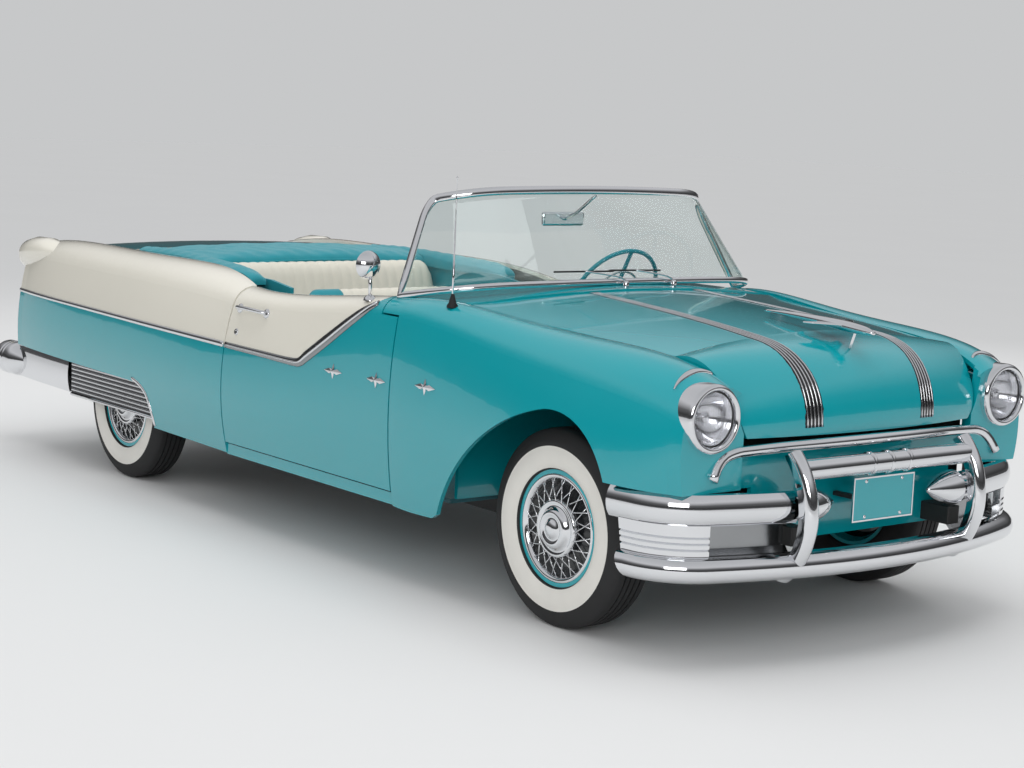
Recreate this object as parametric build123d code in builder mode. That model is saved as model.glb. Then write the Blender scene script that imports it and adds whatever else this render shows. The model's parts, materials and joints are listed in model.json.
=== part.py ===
# A full-size two-door convertible of the middle 1950s, parked with its top folded under a boot.
# Millimetres. +X is forward, +Y is the car's left, +Z is up. The origin is on the ground, at the middle of the
# car's length and width. Pieces that come in pairs are drawn on the left, at +Y, and mirrored.
import os
from math import cos, hypot, radians, sin

from build123d import *

os.makedirs("parts", exist_ok=True)

# Running gear
wheelbase = 3150.0
front_axle_x = 1790.0
rear_axle_x = front_axle_x - wheelbase
track_half = 745.0
tyre_radius = 350.0
tyre_width = 184.0
rim_radius = 205.0
rim_width = 140.0
whitewall_radius = 273.0
hub_radius = 32.0
hub_bore = 19.0
kingpin_y = 640.0
kingpin_radius = 12.0
running_gap = 0.3
axle_z = tyre_radius

# Panels
skin = 18.0
panel_gap = 7.0
door_front_x = 956.0
door_rear_x = -250.0
door_depth = 112.0
door_bottom_z = 345.0
ear_x = 850.0
ear_z = 1000.0
fender_rear_x = door_front_x + panel_gap
quarter_front_x = door_rear_x - panel_gap
nose_x = 2430.0
tail_x = -2400.0
trunk_front_x = -1560.0
seam_half = 800.0

# Floor, frame and seats
floor_z = 338.0
floor_thick = 18.0
floor_half = 798.0
tunnel_half = 130.0
tunnel_height = 95.0
firewall_x = 1150.0
wall = 18.0
rail_half = 395.0
rail_width = 76.0
rail_height = 100.0
rail_top_z = floor_z - floor_thick

# Hinge axes
door_hinge_x = 948.0
door_hinge_y = 958.0
hood_hinge_x = 1150.0
hood_hinge_z = 1118.0
trunk_hinge_x = trunk_front_x + 8.0
trunk_hinge_z = 1070.0


def at(table, x):
    """The columns of a station table at x, on a smooth cubic through its rows."""
    rows = sorted(table)
    last = len(rows) - 2
    i = min(max(sum(1 for r in rows if r[0] <= x) - 1, 0), last)
    a, b = rows[i], rows[i + 1]
    before, after = rows[max(i - 1, 0)], rows[min(i + 2, last + 1)]
    span = b[0] - a[0]
    t = (x - a[0]) / span
    values = []
    for p, q, r, s in zip(before[1:], a[1:], b[1:], after[1:]):
        start = (r - p) / (b[0] - before[0]) * span
        end = (s - q) / (after[0] - a[0]) * span
        values.append(
            (2 * t**3 - 3 * t**2 + 1) * q + (t**3 - 2 * t**2 + t) * start
            + (3 * t**2 - 2 * t**3) * r + (t**3 - t**2) * end
        )
    return values


# Body side, one row for each station: x, inner top edge y and z, shoulder y and z, widest y and z, bottom y and z
side_stations = [
    (2440.0, 622.0, 905.0, 838.0, 800.0, 846.0, 740.0, 826.0, 560.0),
    (2300.0, 642.0, 962.0, 888.0, 850.0, 905.0, 760.0, 885.0, 500.0),
    (2050.0, 679.0, 1003.0, 912.0, 890.0, 945.0, 750.0, 918.0, 300.0),
    (1600.0, 742.0, 1032.0, 922.0, 935.0, 955.0, 750.0, 925.0, 290.0),
    (1200.0, 795.0, 1070.0, 928.0, 985.0, 957.0, 750.0, 927.0, 290.0),
    (860.0, 815.0, 1060.0, 930.0, 995.0, 957.0, 750.0, 927.0, 290.0),
    (300.0, 812.0, 1012.0, 922.0, 950.0, 955.0, 750.0, 926.0, 292.0),
    (-180.0, 806.0, 990.0, 914.0, 925.0, 953.0, 750.0, 925.0, 296.0),
    (-480.0, 765.0, 1040.0, 905.0, 935.0, 950.0, 750.0, 922.0, 300.0),
    (-1000.0, 715.0, 1052.0, 900.0, 945.0, 942.0, 755.0, 915.0, 305.0),
    (-1600.0, 700.0, 1048.0, 885.0, 950.0, 925.0, 760.0, 900.0, 310.0),
    (-2100.0, 696.0, 1042.0, 865.0, 950.0, 900.0, 770.0, 880.0, 320.0),
    (-2400.0, 690.0, 1010.0, 835.0, 930.0, 868.0, 780.0, 855.0, 330.0),
]

# How many rows of a hood or lid lie in its flat stretch, before it turns down
flat_rows = 4

# Hood and trunk lid, one row for each section: centre x and z, edge x, y and z
hood_rows = [
    (1140.0, 1122.0, 1140.0, 800.0, 1072.0),
    (1550.0, 1100.0, 1550.0, 750.0, 1036.0),
    (1900.0, 1080.0, 1898.0, 700.0, 1013.0),
    (2180.0, 1055.0, 2168.0, 661.0, 990.0),
    (2350.0, 1010.0, 2323.0, 636.0, 957.0),
    (2440.0, 930.0, 2383.0, 618.0, 889.0),
    (2478.0, 830.0, 2419.0, 600.0, 818.0),
    (2480.0, 745.0, 2428.0, 564.0, 745.0),
]
trunk_rows = [
    (-1566.0, 1062.0, -1566.0, 690.0, 1046.0),
    (-1800.0, 1058.0, -1800.0, 688.0, 1042.0),
    (-2000.0, 1050.0, -1998.0, 685.0, 1032.0),
    (-2262.0, 1026.0, -2252.0, 670.0, 1000.0),
    (-2375.0, 950.0, -2352.0, 650.0, 934.0),
    (-2420.0, 805.0, -2388.0, 620.0, 800.0),
    (-2425.0, 650.0, -2392.0, 600.0, 650.0),
]


def side_outline(x, inward):
    """Shoulder, widest and bottom points of the body side at x, moved inwards by a wall, and its top edge."""
    y0, z0, y1, z1, y2, z2, y3, z3 = at(side_stations, x)
    return (y0, z0 - inward), (y1 - inward, z1 - inward / 3), (y2 - inward, z2), (y3 - inward, z3)


def skin_section(x):
    """A thin pressed panel, cut across the car: the outer curve, and the inner one a wall's thickness inside it."""
    top, shoulder, wide, foot = side_outline(x, 0)
    top_in, shoulder_in, wide_in, foot_in = side_outline(x, skin)
    with BuildSketch(Plane.YZ.offset(x)) as section:
        with BuildLine():
            outer = ThreePointArc(foot, wide, shoulder)
            TangentArc(outer @ 1, top, tangent=outer % 1)
            Line(top, top_in)
            inner = ThreePointArc(foot_in, wide_in, shoulder_in)
            TangentArc(inner @ 1, top_in, tangent=inner % 1)
            Line(foot_in, foot)
        make_face()
    return section.sketch


def slab_section(x, inner_y):
    """A whole wall, cut across the car, from the outer curve in to a flat inner face at inner_y."""
    top, shoulder, wide, foot = side_outline(x, 0)
    with BuildSketch(Plane.YZ.offset(x)) as section:
        with BuildLine():
            outer = ThreePointArc(foot, wide, shoulder)
            TangentArc(outer @ 1, top, tangent=outer % 1)
            Polyline(top, (inner_y, top[1] - skin), (inner_y, foot[1]), foot)
        make_face()
    return section.sketch


def crown_section(cx, cz, ex, ey, ez, thick, lift=0.0):
    """One section of a crowned panel: an arc across the car from edge to edge, and the same arc a wall inside it."""
    rise = hypot(cx - ex, cz - ez)
    up_x, up_z = (cx - ex) / rise, (cz - ez) / rise
    with BuildSketch(Plane(origin=(ex, 0, ez), x_dir=(0, 1, 0), z_dir=(up_z, 0, -up_x))) as section:
        with BuildLine():
            ThreePointArc((-ey, lift), (0, rise + lift), (ey, lift))
            Line((ey, lift), (ey, -thick))
            ThreePointArc((ey, -thick), (0, rise - thick), (-ey, -thick))
            Line((-ey, -thick), (-ey, lift))
        make_face()
    return section.sketch


def crown_panel(rows, gap, thick, lift=0.0):
    """A crowned panel lofted through its rows: the flat stretch first, then the stretch that turns down."""
    with BuildPart() as panel:
        for stretch in (rows[:flat_rows], rows[flat_rows - 1:]):
            for cx, cz, ex, ey, ez in stretch:
                add(crown_section(cx, cz, ex, ey - gap, ez, thick, lift))
            loft()
    return panel.part


def both_sides(part):
    """A left piece and its mirror image, as one compound of two solids."""
    return Compound(children=[part, mirror(part, about=Plane.XZ)])


def save(part, name):
    part.label = name
    export_step(part, f"parts/{name}.step")


def save_pair(part, name):
    """Writes a left piece, and its mirror image as the right one."""
    save(part, f"{name}_left")
    save(mirror(part, about=Plane.XZ), f"{name}_right")


# Chassis: two rails that pass under the floor and kick up over the axles, and the cross members between them
rail_line = [
    (2330.0, 470.0), (1480.0, 470.0), (1240.0, rail_top_z), (-640.0, rail_top_z),
    (-960.0, 540.0), (-1720.0, 540.0), (-2330.0, 470.0),
]
rear_floor_z = 560.0
floor_rear_x = -640.0
with BuildPart() as rails:
    with BuildSketch(Plane.XZ.offset(-rail_half - rail_width / 2)) as rail_side:
        with BuildLine():
            Polyline(*rail_line, *[(x, z - rail_height) for x, z in reversed(rail_line)], close=True)
        make_face()
    extrude(amount=rail_width)
    mirror(about=Plane.XZ)
    # Cross members: x, top z, length along X, height
    for x, top, length, height in [
        (2250.0, 470.0, 70.0, 90.0), (1000.0, rail_top_z - 20, 90.0, 40.0), (-300.0, rail_top_z - 20, 90.0, 40.0),
        (-1000.0, 540.0, 70.0, 60.0), (-2250.0, 478.0, 70.0, 80.0),
    ]:
        with Locations((x, 0, top - height)):
            Box(length, 2 * rail_half - rail_width, height, align=(Align.CENTER, Align.CENTER, Align.MIN))
save(rails.part, "chassis_frame")

# Floor: a pressed sheet with the hump for the driveshaft, and the sills that close the body under the doors
with BuildPart() as floor:
    with BuildSketch(Plane.YZ.offset(floor_rear_x)) as floor_profile:
        with BuildLine():
            half = [
                (floor_half, floor_z), (tunnel_half, floor_z), (tunnel_half - 30, floor_z + tunnel_height),
                (0.0, floor_z + tunnel_height),
            ]
            under = [(y - 14 if 0 < y < floor_half else y, z - floor_thick) for y, z in half]
            top_line = half + [(-y, z) for y, z in reversed(half[:-1])]
            low_line = under + [(-y, z) for y, z in reversed(under[:-1])]
            Polyline(*top_line, *reversed(low_line), close=True)
        make_face()
    extrude(amount=firewall_x - floor_rear_x)
    with BuildSketch(Plane.YZ.offset(floor_rear_x)):
        with BuildLine():
            Polyline(
                (tunnel_half, floor_z), (tunnel_half - 30, floor_z + tunnel_height),
                (30 - tunnel_half, floor_z + tunnel_height), (-tunnel_half, floor_z), (14 - tunnel_half, floor_z),
                (44 - tunnel_half, floor_z + tunnel_height - floor_thick),
                (tunnel_half - 44, floor_z + tunnel_height - floor_thick), (tunnel_half - 14, floor_z), close=True,
            )
        make_face()
    extrude(amount=-160.0)
save(floor.part, "floor_pan")

sill_front_x = fender_rear_x - 1.0
with BuildPart() as sill:
    with BuildSketch(Plane.YZ.offset(quarter_front_x)):
        with BuildLine():
            Polyline(
                (floor_half, 300.0), (922.0, 292.0), (926.0, door_bottom_z - panel_gap),
                (floor_half, door_bottom_z - panel_gap), close=True,
            )
        make_face()
    extrude(amount=sill_front_x - quarter_front_x)
save(both_sides(sill.part), "door_sills")

# Rear floor: the seat pan's riser, the trunk floor, and the wall between trunk and seat
with BuildPart() as rear_floor:
    with BuildSketch(Plane.XZ.offset(-600.0)) as rear_profile:
        with BuildLine():
            outer_line = [
                (floor_rear_x, floor_z), (floor_rear_x, floor_z - floor_thick), (-930.0 - wall, rear_floor_z),
                (-2330.0, rear_floor_z), (-2330.0, rear_floor_z + wall), (-930.0, rear_floor_z + wall),
            ]
            Polyline(*outer_line, close=True)
        make_face()
    extrude(amount=1200.0)
    with Locations((-1250.0, 0, rear_floor_z + wall)):
        Box(wall, 1200.0, 1003.0 - rear_floor_z - wall, align=(Align.CENTER, Align.CENTER, Align.MIN))
    with Locations((floor_rear_x, 0, floor_z - 40)):
        Box(160.0, 2 * tunnel_half, tunnel_height + 40, align=(Align.MAX, Align.CENTER, Align.MIN), mode=Mode.SUBTRACT)
save(rear_floor.part, "rear_floor")

# Hood, and the room that it takes out of the fenders and the cowl
with BuildPart() as hood:
    add(crown_panel(hood_rows, panel_gap, 22.0))
    with BuildSketch(Plane.XY.offset(700.0)):
        with BuildLine():
            ThreePointArc((1147.0, -1000.0), (1290.0, 0.0), (1147.0, 1000.0))
            Polyline((1147.0, 1000.0), (900.0, 1000.0), (900.0, -1000.0), (1147.0, -1000.0))
        make_face()
    extrude(amount=600.0, mode=Mode.SUBTRACT)
save(hood.part, "hood")
hood_room = crown_panel(hood_rows, 0.0, 50.0, 40.0)
trunk_room = crown_panel(trunk_rows, 0.0, 45.0, 40.0)

# Front fender: a pressed shell from the door's edge to the nose, closed in front round the headlamp
lamp_y = 732.0
lamp_z = 823.0
lamp_radius = 115.0
nose_inner_y = 575.0
with BuildPart() as fender:
    for x in (fender_rear_x, 1250.0, 1650.0, 2050.0, nose_x - 40.0):
        add(skin_section(x))
    loft()
    for x in (nose_x - 40.0, nose_x):
        add(slab_section(x, nose_inner_y))
    loft()
    with BuildSketch(Plane.XZ.offset(-1000.0)) as arch:
        with BuildLine():
            Polyline((2460.0, 200.0), (1205.0, 200.0), (1205.0, 285.0), (1243.0, 307.0))
            ThreePointArc((1243.0, 307.0), (1470.0, 600.0), (1850.0, 785.0))
            ThreePointArc((1850.0, 785.0), (2060.0, 733.0), (2165.0, 587.0))
            Polyline((2165.0, 587.0), (2460.0, 575.0), (2460.0, 200.0))
        make_face()
    extrude(amount=600.0, mode=Mode.SUBTRACT)
    with BuildSketch(Plane.YZ.offset(nose_x - 60.0)):
        with Locations((lamp_y, lamp_z)):
            Circle(lamp_radius)
    extrude(amount=120.0, mode=Mode.SUBTRACT)
    add(hood_room, mode=Mode.SUBTRACT)
save_pair(Part(max(fender.part.solids(), key=lambda s: s.volume).wrapped), "front_fender")

# Doors: the whole thickness of the wall, with the upper front corner left to the pillar's foot
door_inner_y = 926.0 - door_depth
with BuildPart() as door:
    for x in (door_rear_x, 60.0, 400.0, 700.0, door_front_x):
        add(slab_section(x, door_inner_y))
    loft()
    with BuildSketch(Plane.XZ.offset(-1000.0)):
        with Locations((ear_x, ear_z)):
            Rectangle(300.0, 200.0, align=(Align.MIN, Align.MIN))
    extrude(amount=300.0, mode=Mode.SUBTRACT)
    with BuildSketch(Plane.XZ.offset(-1000.0)):
        with Locations((door_rear_x - 100.0, door_bottom_z)):
            Rectangle(1600.0, 200.0, align=(Align.MIN, Align.MAX))
    extrude(amount=300.0, mode=Mode.SUBTRACT)
    # The rear edge leans, so that it swings clear of the jamb
    with BuildSketch(Plane.XY.offset(200.0)):
        with BuildLine():
            Polyline(
                (door_rear_x - 50.0, 980.0), (door_rear_x, 980.0), (door_rear_x, 940.0),
                (door_rear_x + 24.0, 780.0), (door_rear_x - 50.0, 780.0), close=True,
            )
        make_face()
    extrude(amount=1000.0, mode=Mode.SUBTRACT)
save_pair(door.part, "door")

# The pillar's foot: the piece of the cowl that stands in the door's upper corner
with BuildPart() as ear:
    for x in (ear_x + panel_gap, door_front_x, fender_rear_x):
        add(slab_section(x, 800.0))
    loft()
    with BuildSketch(Plane.XZ.offset(-1000.0)):
        with Locations((700.0, ear_z + panel_gap)):
            Rectangle(400.0, 1000.0, align=(Align.MIN, Align.MAX))
    extrude(amount=400.0, mode=Mode.SUBTRACT)
save(both_sides(ear.part), "pillar_feet")

# Cowl: the crowned strip between hood and windscreen, and the firewall under it
screen_base_x = 868.0
screen_base_y = 895.0
screen_base_z = 1053.0
with BuildPart() as cowl:
    add(crown_section(842.0, 1118.0, 842.0, 804.0, 1062.0, 40.0))
    add(crown_section(1080.0, 1130.0, 1080.0, 804.0, 1068.0, 40.0))
    add(crown_section(1300.0, 1117.0, 1300.0, 788.0, 1060.0, 40.0))
    loft()
    with BuildSketch(Plane.XY.offset(800.0)):
        with BuildLine():
            ThreePointArc((1140.0, -1000.0), (1283.0, 0.0), (1140.0, 1000.0))
            Polyline((1140.0, 1000.0), (1500.0, 1000.0), (1500.0, -1000.0), (1140.0, -1000.0))
        make_face()
    extrude(amount=500.0, mode=Mode.SUBTRACT)
    with BuildSketch(Plane.XY.offset(800.0)):
        with BuildLine():
            ThreePointArc((700.0, -870.0), (1110.0, 0.0), (700.0, 870.0))
            Line((700.0, 870.0), (700.0, -870.0))
        make_face()
    extrude(amount=500.0, mode=Mode.SUBTRACT)
    with Locations((firewall_x, 0, floor_z)):
        Box(wall, 2 * 780.0, 1060.0 - floor_z, align=(Align.MIN, Align.CENTER, Align.MIN))
    with Locations((firewall_x, 0, floor_z)):
        Box(wall, 2 * tunnel_half, tunnel_height, align=(Align.MIN, Align.CENTER, Align.MIN), mode=Mode.SUBTRACT)
    add(fender.part, mode=Mode.SUBTRACT)
    add(mirror(fender.part, about=Plane.XZ, mode=Mode.PRIVATE), mode=Mode.SUBTRACT)
    add(ear.part, mode=Mode.SUBTRACT)
    add(mirror(ear.part, about=Plane.XZ, mode=Mode.PRIVATE), mode=Mode.SUBTRACT)
save(Part(max(cowl.part.solids(), key=lambda s: s.volume).wrapped), "cowl")

# Rear quarter: the haunch behind the door, the wheel opening, and the closed tail
tail_inner_y = 640.0
with BuildPart() as quarter:
    for x in (quarter_front_x, -480.0, -1000.0, -1600.0, -2100.0, tail_x + 60.0):
        add(skin_section(x))
    loft()
    for x in (tail_x + 60.0, tail_x):
        add(slab_section(x, tail_inner_y))
    loft()
    with BuildSketch(Plane.XZ.offset(-1000.0)):
        with BuildLine():
            Polyline((-1820.0, 200.0), (-905.0, 200.0), (-905.0, 300.0))
            ThreePointArc((-905.0, 300.0), (-945.0, 440.0), (-1080.0, 495.0))
            Polyline((-1080.0, 495.0), (-2500.0, 505.0), (-2500.0, 200.0), (-1820.0, 200.0))
        make_face()
    extrude(amount=500.0, mode=Mode.SUBTRACT)
    add(trunk_room, mode=Mode.SUBTRACT)
save_pair(Part(max(quarter.part.solids(), key=lambda s: s.volume).wrapped), "rear_quarter")

# The skirt that hides the upper half of the rear wheel
with BuildPart() as skirt:
    with BuildSketch(Plane.XZ.offset(-905.0)):
        with BuildLine():
            Polyline((-1750.0, 340.0), (-1750.0, 503.0), (-1085.0, 493.0))
            ThreePointArc((-1085.0, 493.0), (-955.0, 440.0), (-912.0, 340.0))
            Line((-912.0, 340.0), (-1750.0, 340.0))
        make_face()
    extrude(amount=14.0)
save(both_sides(skirt.part), "fender_skirts")

# Deck between rear seat and trunk
with BuildPart() as deck:
    add(crown_section(-1255.0, 1046.0, -1255.0, 690.0, 1030.0, 25.0))
    add(crown_section(-1559.0, 1062.0, -1559.0, 690.0, 1046.0, 25.0))
    loft()
save(deck.part, "rear_deck")

with BuildPart() as trunk:
    add(crown_panel(trunk_rows, panel_gap, 22.0))
save(trunk.part, "trunk_lid")

with BuildPart() as tail_panel:
    with Locations((-2330.0, 0, 506.0)):
        Box(60.0, 2 * tail_inner_y, 138.0, align=(Align.MAX, Align.CENTER, Align.MIN))
save(tail_panel.part, "tail_panel")

# Rear side panels: the cabin's inner walls beside the rear seat
with BuildPart() as side_panel:
    with BuildSketch(Plane.XZ.offset(-616.0)):
        with BuildLine():
            Polyline(
                (quarter_front_x, floor_z), (quarter_front_x, 985.0), (-420.0, 1005.0), (-1240.0, 1020.0),
                (-1240.0, rear_floor_z + wall), (-930.0, rear_floor_z + wall), (floor_rear_x, floor_z), close=True,
            )
        make_face()
    extrude(amount=-16.0)
save(both_sides(side_panel.part), "rear_side_panels")

# Bumpers
with BuildPart() as front_bumper:
    with BuildSketch(Plane.XY.offset(300.0)):
        with BuildLine():
            Polyline((2150.0, 935.0), (2420.0, 915.0))
            ThreePointArc((2420.0, 915.0), (2610.0, 600.0), (2634.0, 0.0))
            ThreePointArc((2634.0, 0.0), (2610.0, -600.0), (2420.0, -915.0))
            Polyline((2420.0, -915.0), (2150.0, -935.0), (2150.0, -910.0), (2405.0, -890.0))
            ThreePointArc((2405.0, -890.0), (2584.0, -590.0), (2606.0, 0.0))
            ThreePointArc((2606.0, 0.0), (2584.0, 590.0), (2405.0, 890.0))
            Polyline((2405.0, 890.0), (2150.0, 910.0), (2150.0, 935.0))
        make_face()
    extrude(amount=250.0)
save(front_bumper.part, "front_bumper")

with BuildPart() as rear_bumper:
    with BuildSketch(Plane.XY.offset(330.0)):
        with BuildLine():
            Polyline((-1760.0, 925.0), (-2400.0, 905.0))
            ThreePointArc((-2400.0, 905.0), (-2600.0, 600.0), (-2634.0, 0.0))
            ThreePointArc((-2634.0, 0.0), (-2600.0, -600.0), (-2400.0, -905.0))
            Polyline((-2400.0, -905.0), (-1760.0, -925.0), (-1760.0, -905.0), (-2390.0, -885.0))
            ThreePointArc((-2390.0, -885.0), (-2574.0, -590.0), (-2606.0, 0.0))
            ThreePointArc((-2606.0, 0.0), (-2574.0, 590.0), (-2390.0, 885.0))
            Polyline((-2390.0, 885.0), (-1760.0, 905.0), (-1760.0, 925.0))
        make_face()
    extrude(amount=160.0)
save(rear_bumper.part, "rear_bumper")

# Front pieces: the wall behind the grille, the chrome arch, the bar, and the guards on the bumper
with BuildPart() as core:
    with BuildSketch(Plane.YZ.offset(2385.0)):
        with BuildLine():
            Polyline(
                (-570.0, 575.0), (-570.0, 640.0), (-540.0, 715.0), (540.0, 715.0), (570.0, 640.0), (570.0, 575.0),
                (500.0, 575.0), (500.0, 380.0), (-500.0, 380.0), (-500.0, 575.0), close=True,
            )
        make_face()
    extrude(amount=18.0)
save(core.part, "grille_back")

with BuildPart() as arch_bar:
    with BuildSketch(Plane.XY.offset(700.0)):
        with BuildLine():
            ThreePointArc((2404.0, -560.0), (2497.0, 0.0), (2404.0, 560.0))
            Line((2404.0, 560.0), (2404.0, 545.0))
            ThreePointArc((2404.0, 545.0), (2475.0, 0.0), (2404.0, -545.0))
            Line((2404.0, -545.0), (2404.0, -560.0))
        make_face()
    extrude(amount=34.0)
save(arch_bar.part, "grille_arch")

with BuildPart() as bar:
    with BuildSketch(Plane.XZ.offset(-330.0)):
        with BuildLine():
            Polyline((2404.0, 620.0), (2560.0, 628.0), (2575.0, 650.0), (2560.0, 672.0), (2404.0, 680.0), close=True)
        make_face()
    extrude(amount=660.0)
save(bar.part, "grille_bar")

with BuildPart() as guard:
    with BuildSketch(Plane.XY.offset(277.0)):
        with Locations((2590.0, 415.0)):
            Ellipse(50.0, 62.0)
    with BuildSketch(Plane.XY.offset(697.0)):
        with Locations((2565.0, 427.0)):
            Ellipse(28.0, 40.0)
    loft()
    add(front_bumper.part, mode=Mode.SUBTRACT)
guard_solid = guard.part.solids().sort_by(Axis.X)[-1]
save(both_sides(Part(guard_solid.wrapped)), "bumper_guards")

# Lamps
with BuildPart() as headlamp:
    with BuildSketch(Plane.YZ.offset(nose_x - 60.0)):
        with Locations((lamp_y, lamp_z)):
            Circle(lamp_radius)
    extrude(amount=110.0)
save(both_sides(headlamp.part), "headlamps")

with BuildPart() as tail_lamp:
    with BuildSketch(Plane.YZ.offset(tail_x)):
        with Locations((765.0, 930.0)):
            Ellipse(60.0, 66.0)
    extrude(amount=-55.0)
save(both_sides(tail_lamp.part), "tail_lamps")

# Windscreen: a deep wrapped crescent, drawn on the slanted planes of its foot and its head
screen_head_x = 784.0
screen_head_y = 705.0
screen_head_z = 1433.0
base_plane = Plane(origin=(screen_base_x, 0, screen_base_z), x_dir=(352.0, 0, 74.0), z_dir=(-74.0, 0, 352.0))
head_plane = Plane(origin=(screen_head_x, 0, screen_head_z), x_dir=(204.0, 0, 61.0), z_dir=(-61.0, 0, 204.0))


def screen_section(plane, depth, flat_depth, flat_y, corner_y, outer, inner):
    """A crescent on the given plane, between two insets from the windscreen's outer line."""
    with BuildSketch(plane) as crescent:
        with BuildLine():
            sides = []
            for inset in (outer, inner):
                front = ThreePointArc(
                    (flat_depth - inset, -flat_y), (depth - inset, 0), (flat_depth - inset, flat_y))
                left = TangentArc(front @ 1, (0, corner_y - inset), tangent=front % 1)
                right = TangentArc(front @ 0, (0, -corner_y + inset), tangent=-(front % 0))
                sides.append((left @ 1, right @ 1))
            Line(sides[0][0], sides[1][0])
            Line(sides[0][1], sides[1][1])
        make_face()
    return crescent.sketch


def screen_shell(outer, inner):
    """The windscreen's wall between two insets, from its foot to its head."""
    with BuildPart() as shell:
        add(screen_section(base_plane, 360.0, 318.0, 560.0, screen_base_y, outer, inner))
        add(screen_section(head_plane, 213.0, 185.0, 440.0, screen_head_y, outer, inner))
        loft()
    return shell.part


window_points = [(904.0, 1080.0), (1300.0, 1166.0), (1080.0, 1486.0), (818.0, 1409.0)]
with BuildPart() as screen_frame:
    add(screen_shell(0.0, 26.0))
    with BuildSketch(Plane.XZ.offset(-1000.0)):
        Polygon(*window_points, align=None)
    extrude(amount=2000.0, mode=Mode.SUBTRACT)
    for piece in (cowl.part, ear.part, mirror(ear.part, about=Plane.XZ, mode=Mode.PRIVATE), fender.part,
                  mirror(fender.part, about=Plane.XZ, mode=Mode.PRIVATE)):
        add(piece, mode=Mode.SUBTRACT)
save(Part(max(screen_frame.part.solids(), key=lambda s: s.volume).wrapped), "windscreen_frame")

with BuildPart() as screen_glass:
    add(screen_shell(10.0, 16.0))
    with BuildSketch(Plane.XZ.offset(-1000.0)):
        Polygon(*window_points, align=None)
    extrude(amount=2000.0, mode=Mode.INTERSECT)
save(screen_glass.part, "windscreen_glass")

# Inside: dashboard, column, steering wheel, seats and the boot over the folded top
with BuildPart() as dash:
    with BuildSketch(Plane.XZ.offset(-760.0)):
        with BuildLine():
            Polyline((1148.0, 1000.0), (960.0, 1008.0), (900.0, 990.0), (872.0, 950.0), (890.0, 900.0),
                     (960.0, 860.0), (1148.0, 860.0), close=True)
        make_face()
    extrude(amount=1520.0)

steering_y = 400.0
steering_x = 640.0
steering_z = 1020.0
steering_lean = 28.0
steering_radius = 220.0
rim_section = 9.0
wheel_plane = Plane(
    origin=(steering_x, steering_y, steering_z),
    x_dir=(0, 1, 0), z_dir=(-cos(radians(steering_lean)), 0, sin(radians(steering_lean))),
)
with BuildPart() as steering_wheel:
    with BuildSketch(Plane(origin=(steering_x, steering_y, steering_z), x_dir=wheel_plane.z_dir,
                           z_dir=wheel_plane.x_dir)):
        with Locations((0, steering_radius)):
            Circle(rim_section)
    revolve(axis=Axis((steering_x, steering_y, steering_z), wheel_plane.z_dir))
    with BuildSketch(wheel_plane.offset(-30.0)):
        Circle(34.0)
    extrude(amount=34.0)
    with BuildSketch(wheel_plane.offset(-8.0)):
        with PolarLocations(0, 3, start_angle=-90):
            with Locations((steering_radius / 2, 0)):
                Rectangle(steering_radius, 16.0)
    extrude(amount=8.0)
save(steering_wheel.part, "steering_wheel")

column_length = 620.0
with BuildPart() as column:
    with BuildSketch(wheel_plane.offset(-31.0)):
        Circle(26.0)
    extrude(amount=-column_length)
    split(bisect_by=Plane.YZ.offset(firewall_x), keep=Keep.BOTTOM)
save(column.part, "steering_column")
with BuildPart() as dash_bored:
    add(dash.part)
    add(column.part, mode=Mode.SUBTRACT)
save(dash_bored.part, "dashboard")

seat_half = 690.0
with BuildPart() as front_seat:
    with BuildSketch(Plane.XZ.offset(-seat_half)):
        with BuildLine():
            Polyline(
                (560.0, floor_z + 100), (575.0, 640.0), (130.0, 610.0), (-20.0, 1005.0), (-100.0, 1000.0),
                (-40.0, 600.0), (20.0, floor_z + 100), close=True,
            )
        make_face()
    extrude(amount=2 * seat_half)
save(front_seat.part, "front_seat")

with BuildPart() as rear_seat:
    with BuildSketch(Plane.XZ.offset(-600.0)):
        with BuildLine():
            Polyline(
                (-500.0, floor_z + 96), (-480.0, 640.0), (-800.0, 600.0), (-900.0, 1030.0), (-1000.0, 1030.0),
                (-1000.0, rear_floor_z + 30.0), (-930.0, rear_floor_z + 30.0), (-740.0, floor_z + 96), close=True,
            )
        make_face()
    extrude(amount=1200.0)
save(rear_seat.part, "rear_seat")

with BuildPart() as boot:
    with BuildSketch(Plane.XZ.offset(-600.0)):
        with BuildLine():
            Polyline((-1010.0, 960.0), (-1010.0, 1045.0), (-1100.0, 1075.0), (-1240.0, 1070.0), (-1240.0, 960.0),
                     close=True)
        make_face()
    extrude(amount=1200.0)
save(boot.part, "top_boot")

# Mechanical pieces
with BuildPart() as engine:
    with Locations((1660.0, 0, 380.0)):
        Box(760.0, 500.0, 460.0, align=(Align.CENTER, Align.CENTER, Align.MIN))
save(engine.part, "engine_block")

with BuildPart() as radiator:
    with Locations((2290.0, 0, 470.0)):
        Box(60.0, 620.0, 470.0, align=(Align.CENTER, Align.CENTER, Align.MIN))
save(radiator.part, "radiator")

shaft_radius = 36.0
with BuildPart() as driveshaft:
    with BuildSketch(Plane.YZ.offset(1280.0)):
        with Locations((0, axle_z)):
            Circle(shaft_radius)
    extrude(amount=-2500.0)
save(driveshaft.part, "driveshaft")

axle_tube_radius = 42.0
with BuildPart() as rear_axle:
    with BuildSketch(Plane.XZ.offset(-640.0)):
        with Locations((rear_axle_x, axle_z)):
            Circle(axle_tube_radius)
    extrude(amount=1280.0)
    with BuildSketch(Plane.XZ.offset(-track_half - 60.0)):
        with Locations((rear_axle_x, axle_z)):
            Circle(hub_bore - running_gap)
    extrude(amount=2 * track_half + 120.0)
    with Locations((rear_axle_x, 0, axle_z)):
        Sphere(140.0)
save(rear_axle.part, "rear_axle")

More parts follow.
